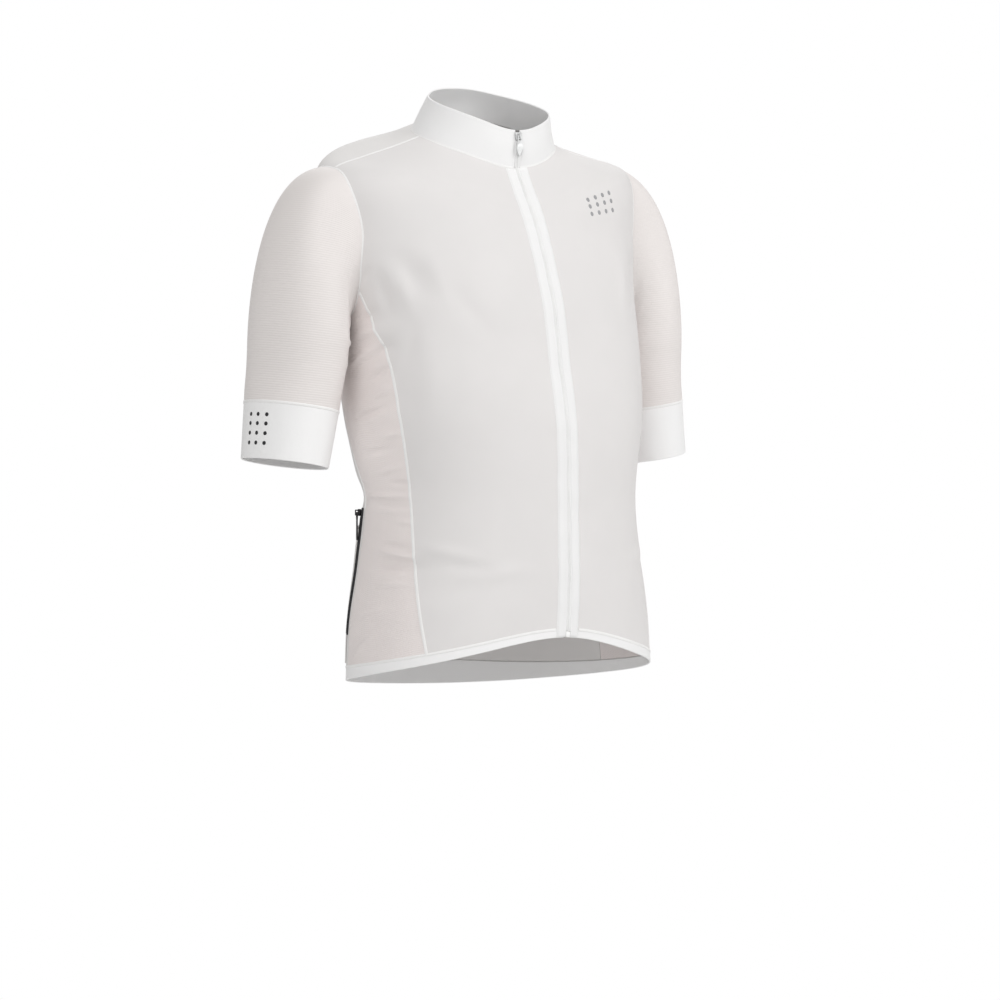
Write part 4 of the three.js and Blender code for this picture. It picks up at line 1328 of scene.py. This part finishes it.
class BuildFrontZip(bpy.types.Operator):
    """Make the front zip: tapes, teeth, box, slider and pull"""

    bl_idname = "jersey.build_front_zip"
    bl_label = "Front zip"

    def execute(self, context):
        tape = mm(sizes().tape)
        heights = np.linspace(1, NECKLINE - SEAM_GAP / 2, 240)[:, None]
        reaches = np.linspace(TAPE_INNER, TAPE_OUTER, 9)[None, :]
        for side, sign in (("right", -1), ("left", 1)):
            angles = sign * trunk_sideways(reaches, heights)
            grid = np.broadcast_arrays(angles, heights)
            sunk = mix(0.15, 1, smooth((NECKLINE - heights) / TAPE_END))
            proud = (LIFT + tape) * TAPE_TAPER * sunk
            cloth_piece(f"zip_tape_{side}", trunk_point, grid, proud + TAPE_SINK,
                        finish_named("Zip tape weave"),
                        proud=proud)
        core = [zip_line(reach, CORE_LEVEL) for reach in np.linspace(-TAPE_INNER, TAPE_INNER, 7)]
        outer = np.stack([line.points for line in core], axis=1)
        outward = np.stack([line.outward for line in core], axis=1)
        inner = outer - outward * CORE_THICKNESS
        chain = wall("zip_chain_core", outer, inner, finish_named("Zip tape weave"))
        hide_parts("zip_chain")
        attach(chain, "garment")
        pitch = mm(sizes().tooth_pitch)
        for side, sign in (("right", -1), ("left", 1)):
            line = zip_line(sign * TEETH_SIDE, TEETH_LEVEL)
            if sign > 0:
                line.points = line.points + line.tangent() * pitch / 2
            garment_beads(f"zip_teeth_{side}", [line], "Zip plastic", "zip_plastic", pitch=pitch,
                          slant=TEETH_SLANT * sign, **TEETH)
        hard_piece("zip_box", "zip_box_moulded", "Zip plastic", "garment", 0.3)
        hard_piece("zip_slider", "zip_slider_cast", "Zip metal", "garment")
        hard_piece("zip_pull", "zip_pull_cast", "Zip metal", "front_pull")
        return {"FINISHED"}


def pocket_strip_place(reach, row):
    """Column and row on the back, a distance in millimetres across the pocket zip."""
    width = np.linalg.norm(on_back(BACK_COLUMNS, row) - on_back(BACK_COLUMNS - 1, row), axis=-1)
    return POCKET_ZIP_COLUMN + reach / width, row


def pocket_zip_line(reach, proud, foot, head):
    rows = np.linspace(foot, head, 90)
    place = pocket_strip_place(reach, rows)
    return Line(on_back(*place, proud), back_normal(*place))


class BuildPocketZip(bpy.types.Operator):
    """Make the zip of the right-hand pocket: tape, teeth, slider and pull"""

    bl_idname = "jersey.build_pocket_zip"
    bl_label = "Pocket zip"

    def execute(self, context):
        tape = mm(sizes().tape)
        rows = np.linspace(POCKET_ZIP_FOOT, POCKET_ZIP_HEAD, 90)
        across = np.linspace(-POCKET_TAPE_HALF, POCKET_TAPE_HALF, 9)
        places = [pocket_strip_place(reach, rows) for reach in across]
        columns = np.stack([place[0] for place in places], axis=1)
        levels = np.stack([place[1] for place in places], axis=1)
        outer, inner = on_back(columns, levels, LIFT + tape), on_back(columns, levels, 0.1)
        piece = wall("pocket_zip_tape_cloth", outer, inner, finish_named("Dark tape weave"))
        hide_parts("pocket_zip_tape")
        declare(piece, outer, hidden=TAPE_SEWN_UNDER)
        teeth = []
        for sign in (-1, 1):
            line = pocket_zip_line(sign * SMALL_TEETH_SIDE, LIFT + tape + SMALL_TEETH_LEVEL,
                                   POCKET_ZIP_FOOT + 0.08, POCKET_ZIP_HEAD - 0.34)
            if sign > 0:
                line.points = line.points + line.tangent() * SMALL_TEETH["pitch"] / 2
            teeth.append(line)
        chain = garment_beads("pocket_zip_teeth", teeth, "Dark plastic", "pocket_plastic", **SMALL_TEETH)
        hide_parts("pocket_zip_chain")
        hard_piece("pocket_zip_slider", "pocket_slider_cast", "Dark metal", "garment")
        hard_piece("pocket_zip_pull", "pocket_pull_cast", "Dark metal", "pocket_pull")
        return {"FINISHED"}


def side_seam_lines(column):
    """Both side seams, of which the right rear one starts above the pocket zip."""
    sign = 1 if column == "frontSeam" else -1
    _, top = armhole(sign * PANEL_TURN)
    foot = hem_width(seam_angle(column, 0))
    above_zip = float(back_place(BACK_COLUMNS, POCKET_ZIP_HEAD)[1])
    lines = []
    for side in (-1, 1):
        zipped = side < 0 and column == "backSeam"
        heights = np.linspace(above_zip if zipped else foot, float(top) - 1, 150)
        lines.append(trunk_line(side * seam_angle(column, heights), heights))
    return lines


def armhole_lines():
    turns = turns_round(180)
    angle, height = armhole(turns)
    lines = []
    for sign in (-1, 1):
        points = trunk_point(sign * angle, height)
        sleeve_outward = sleeve_normal(turns, np.full_like(turns, 0.03), sign)
        outward = unit(ring_normal(TRUNK, sign * angle, height) + sleeve_outward)
        lines.append(Line(points, outward, True))
    return lines


def shoulder_lines():
    heights = np.linspace(SHOULDER_POINT + 2, NECKLINE - 2, 50)
    return [trunk_line(np.full_like(heights, side * 90.0), heights) for side in (-1, 1)]


def collar_seam_line():
    start = collar_sideways(COLLAR_EDGE + 1, 0)
    angles = np.linspace(start, 360 - start, 220)
    low, top = np.zeros_like(angles), np.full_like(angles, NECKLINE)
    outward = unit(ring_normal(COLLAR, angles, low) + ring_normal(TRUNK, angles, top))
    return Line(collar_point(angles, low), outward)


def hem_seam_line():
    start = trunk_sideways(TAPE_OUTER + 0.5, 0)
    angles = np.linspace(start, 360 - start, 300)
    return trunk_line(angles, hem_width(angles))


def band_seam_lines():
    turns = turns_round(112)
    return [sleeve_line(turns, np.full_like(turns, BAND_TOP), sign) for sign in (-1, 1)]


SEAM_GROUPS = {
    "side_seams": lambda: side_seam_lines("frontSeam") + side_seam_lines("backSeam"),
    "armhole_seams": armhole_lines,
    "shoulder_seams": shoulder_lines,
    "collar_seam": lambda: [collar_seam_line()],
    "hem_seam": lambda: [hem_seam_line()],
    "band_seams": band_seam_lines,
    "pocket_seams": lambda: [pocket_line(column) for column in POCKET_DIVISIONS],
}


def pocket_line(column):
    """Down the pocket panel at one column, from just below its top edge."""
    rows = np.linspace(POCKET_FOOT + 0.05, pocket_top(column) - 0.05, 90)
    return Line(on_back(column, rows, LIFT + mm(sizes().cloth)), back_normal(column, rows))


def pocket_stitch_lines():
    """Rows of stitches down the pocket panel's sides, along its foot and below its top edge."""
    cloth = mm(sizes().cloth)
    lines = [pocket_line(column) for column in (POCKET_FROM + 0.12, POCKET_TO - 0.12)]
    columns = np.linspace(POCKET_FROM + 0.1, POCKET_TO - 0.1, 160)
    foot = POCKET_FOOT + 0.08
    lines.append(Line(on_back(columns, foot, LIFT + cloth), back_normal(columns, foot)))
    for below in (0.12, 0.62):
        rows = pocket_top(columns) - below
        lift = LIFT + POCKET_EASE * pocket_ease(columns) + cloth
        lines.append(Line(on_back(columns, rows, lift), back_normal(columns, rows)))
    return lines


def tape_stitch_lines():
    heights = np.linspace(3, NECKLINE - 3, 200)
    proud = LIFT + mm(sizes().tape)
    reaches = (5.6, TAPE_OUTER - 1.2)
    return [trunk_line(sign * trunk_sideways(reach, heights), heights, proud) for sign in (-1, 1)
            for reach in reaches]


def edge_stitch_lines():
    """Stitches below the collar's top edge and beside its two front edges."""
    start = collar_sideways(COLLAR_EDGE + 2.5, COLLAR_TOP)
    angles = np.linspace(start, 360 - start, 200)
    lines = [collar_line(angles, COLLAR_TOP - 3.2)]
    heights = np.linspace(3, COLLAR_TOP - 3.2, 24)
    lines += [collar_line(sign * collar_sideways(COLLAR_EDGE + 2.5, heights), heights) for sign in (-1, 1)]
    return lines


class BuildSeams(bpy.types.Operator):
    """Make the raised seams and every row of stitches"""

    bl_idname = "jersey.build_seams"
    bl_label = "Seams and stitches"

    def execute(self, context):
        width, rise, pitch = mm(sizes().seam_width), mm(sizes().seam_rise), mm(sizes().stitch)
        finish = finish_named("Seam thread")
        for name, make in SEAM_GROUPS.items():
            lines = make()
            seam_piece(name, lines, width, rise, finish)
            crossed = [line.beside(offset, rise * CROSSED_LEVEL) for line in lines
                       for offset in (-CROSSED_SIDE, CROSSED_SIDE)]
            garment_beads(name + "_stitches", crossed, "Seam thread", "main_cloth",
                          pitch=pitch * CROSSED_PITCH, **CROSSED)
        for name, make in (("pocket_stitches", pocket_stitch_lines), ("tape_stitches", tape_stitch_lines),
                           ("edge_stitches", edge_stitch_lines)):
            garment_beads(name, make(), "Seam thread", "main_cloth", pitch=pitch, **STITCH)
        proud = LIFT + mm(sizes().tape)
        ends = POCKET_ZIP_FOOT + 0.04, POCKET_ZIP_HEAD - 0.04
        dark = [pocket_zip_line(sign * (POCKET_TAPE_HALF - 1), proud, *ends) for sign in (-1, 1)]
        garment_beads("pocket_zip_stitches", dark, "Dark thread", "pocket_tape", pitch=pitch, **STITCH)
        return {"FINISHED"}


def dot_grid(name, place, across, up, counts, wide, finish, slot):
    """A grid of printed dots on the cloth, between two ends across and two up."""
    columns, rows = counts
    lines = [place(np.linspace(*across, 40), np.full(40, level)) for level in np.linspace(*up, rows)]
    length = min(np.linalg.norm(np.diff(line.points, axis=0), axis=-1).sum() for line in lines)
    return garment_beads(name, lines, finish, slot, pitch=length / (columns - 1) * 0.999, length=wide,
                         width=wide, height=0.5, segments=16)


class BuildPrints(bpy.types.Operator):
    """Make the dots on the right sleeve band and the grey reflective dots on the chest"""

    bl_idname = "jersey.build_prints"
    bl_label = "Prints"

    def execute(self, context):
        def on_band(turns, reaches):
            return sleeve_line(turns, reaches, -1, 0.05)

        dot = mm(sizes().dot)
        dot_grid("band_dots", on_band, (-2, 24), (3.26, 3.74), (3, 4), dot, "Dark print", "band_cloth")
        dot_grid("chest_dots", trunk_line, (43.5, 57.5), (477, 501), (4, 3), dot * 1.15, "Grey print",
                 "main_cloth")
        return {"FINISHED"}


def area_lamp(name, direction, distance, size, power, target):
    """A square soft lamp that looks at a point."""
    data = bpy.data.lights.new(name, "AREA")
    data.shape = "SQUARE"
    data.size = size
    data.energy = power
    lamp = bpy.data.objects.new(name, data)
    bpy.context.scene.collection.objects.link(lamp)
    lamp.location = target + Vector(direction).normalized() * distance
    lamp.rotation_euler = (target - lamp.location).to_track_quat("-Z", "Y").to_euler()
    return lamp


class BuildStudio(bpy.types.Operator):
    """Make the camera, the soft lights, the pale surroundings and the floor"""

    bl_idname = "jersey.build_studio"
    bl_label = "Studio"

    def execute(self, context):
        scene = context.scene
        s = scene.jersey_studio
        az, el = s.azimuth, s.elevation
        right = Vector((math.cos(az), math.sin(az), 0))
        back = Vector((math.sin(az) * math.cos(el), -math.cos(az) * math.cos(el), math.sin(el)))
        up = back.cross(right)
        aim = right * s.aim_right - up * s.aim_below
        data = bpy.data.cameras.new("Studio camera")
        data.lens = s.lens
        data.sensor_width = 36
        data.clip_end = 100
        camera = bpy.data.objects.new("Studio camera", data)
        scene.collection.objects.link(camera)
        camera.matrix_world = Matrix.Translation(aim + back * s.distance) @ Matrix(
            (right, up, back)
        ).transposed().to_4x4()
        scene.camera = camera

        world = bpy.data.worlds.new("Pale surroundings")
        world.use_nodes = True
        nodes, links = world.node_tree.nodes, world.node_tree.links
        nodes.clear()
        seen = nodes.new("ShaderNodeLightPath")
        mixer, out = nodes.new("ShaderNodeMixShader"), nodes.new("ShaderNodeOutputWorld")
        lit, plain = nodes.new("ShaderNodeBackground"), nodes.new("ShaderNodeBackground")
        lit.inputs["Color"].default_value = (1.0, 0.99, 0.98, 1)
        lit.inputs["Strength"].default_value = s.ambient
        plain.inputs["Color"].default_value = (1, 1, 1, 1)
        plain.inputs["Strength"].default_value = 1
        links.new(seen.outputs["Is Camera Ray"], mixer.inputs[0])
        links.new(lit.outputs[0], mixer.inputs[1])
        links.new(plain.outputs[0], mixer.inputs[2])
        links.new(mixer.outputs[0], out.inputs["Surface"])
        scene.world = world
        scene.view_settings.view_transform = "Standard"

        for name, placing in LAMPS.items():
            area_lamp(name.title() + " lamp", *placing, getattr(s, name), Vector(LIT_POINT))

        shape = bmesh.new()
        bmesh.ops.create_circle(shape, cap_ends=True, segments=96, radius=2.6)
        bmesh.ops.translate(shape, verts=shape.verts, vec=(0, 0, -s.floor))
        mesh = bpy.data.meshes.new("studio_floor")
        shape.to_mesh(mesh)
        shape.free()
        pale = Finish("Pale floor", Specular_IOR_Level=0.2)
        tone = pale.noise(3, 3)
        pale.colour(pale.blend(tone, (0.86, 0.86, 0.86), (0.9, 0.9, 0.9)))
        pale.rough(tone * 0.1 + 0.7)
        mesh.materials.append(pale.material)
        link("studio_floor", mesh)
        return {"FINISHED"}


class JerseyPanel(bpy.types.Panel):
    """Lists what the jersey is made of"""

    bl_idname = "JERSEY_PT_panel"
    bl_label = "Cycling jersey"
    bl_space_type = "VIEW_3D"
    bl_region_type = "UI"
    bl_category = "Jersey"

    def draw(self, context):
        column = self.layout.column()
        for operator in OPERATORS:
            column.operator(operator.bl_idname)
        for group in (context.scene.jersey_sizes, context.scene.jersey_finish, context.scene.jersey_studio):
            box = self.layout.box()
            for name in group.__annotations__:
                box.prop(group, name)


GROUPS = {"jersey_sizes": JerseySizes, "jersey_finish": JerseyFinish, "jersey_studio": JerseyStudio}
OPERATORS = [
    BuildBody, BuildSleeves, BuildBands, BuildPockets, BuildFrontZip, BuildPocketZip, BuildSeams, BuildPrints,
    BuildStudio,
]


def register():
    for each in [*GROUPS.values(), *OPERATORS, JerseyPanel]:
        bpy.utils.register_class(each)
    for name, group in GROUPS.items():
        setattr(bpy.types.Scene, name, bpy.props.PointerProperty(type=group))


def unregister():
    for name in GROUPS:
        delattr(bpy.types.Scene, name)
    for each in reversed([*GROUPS.values(), *OPERATORS, JerseyPanel]):
        bpy.utils.unregister_class(each)


def main():
    register()
    for operator in OPERATORS:
        group, name = operator.bl_idname.split(".")
        getattr(getattr(bpy.ops, group), name)()


if __name__ == "__main__":
    main()
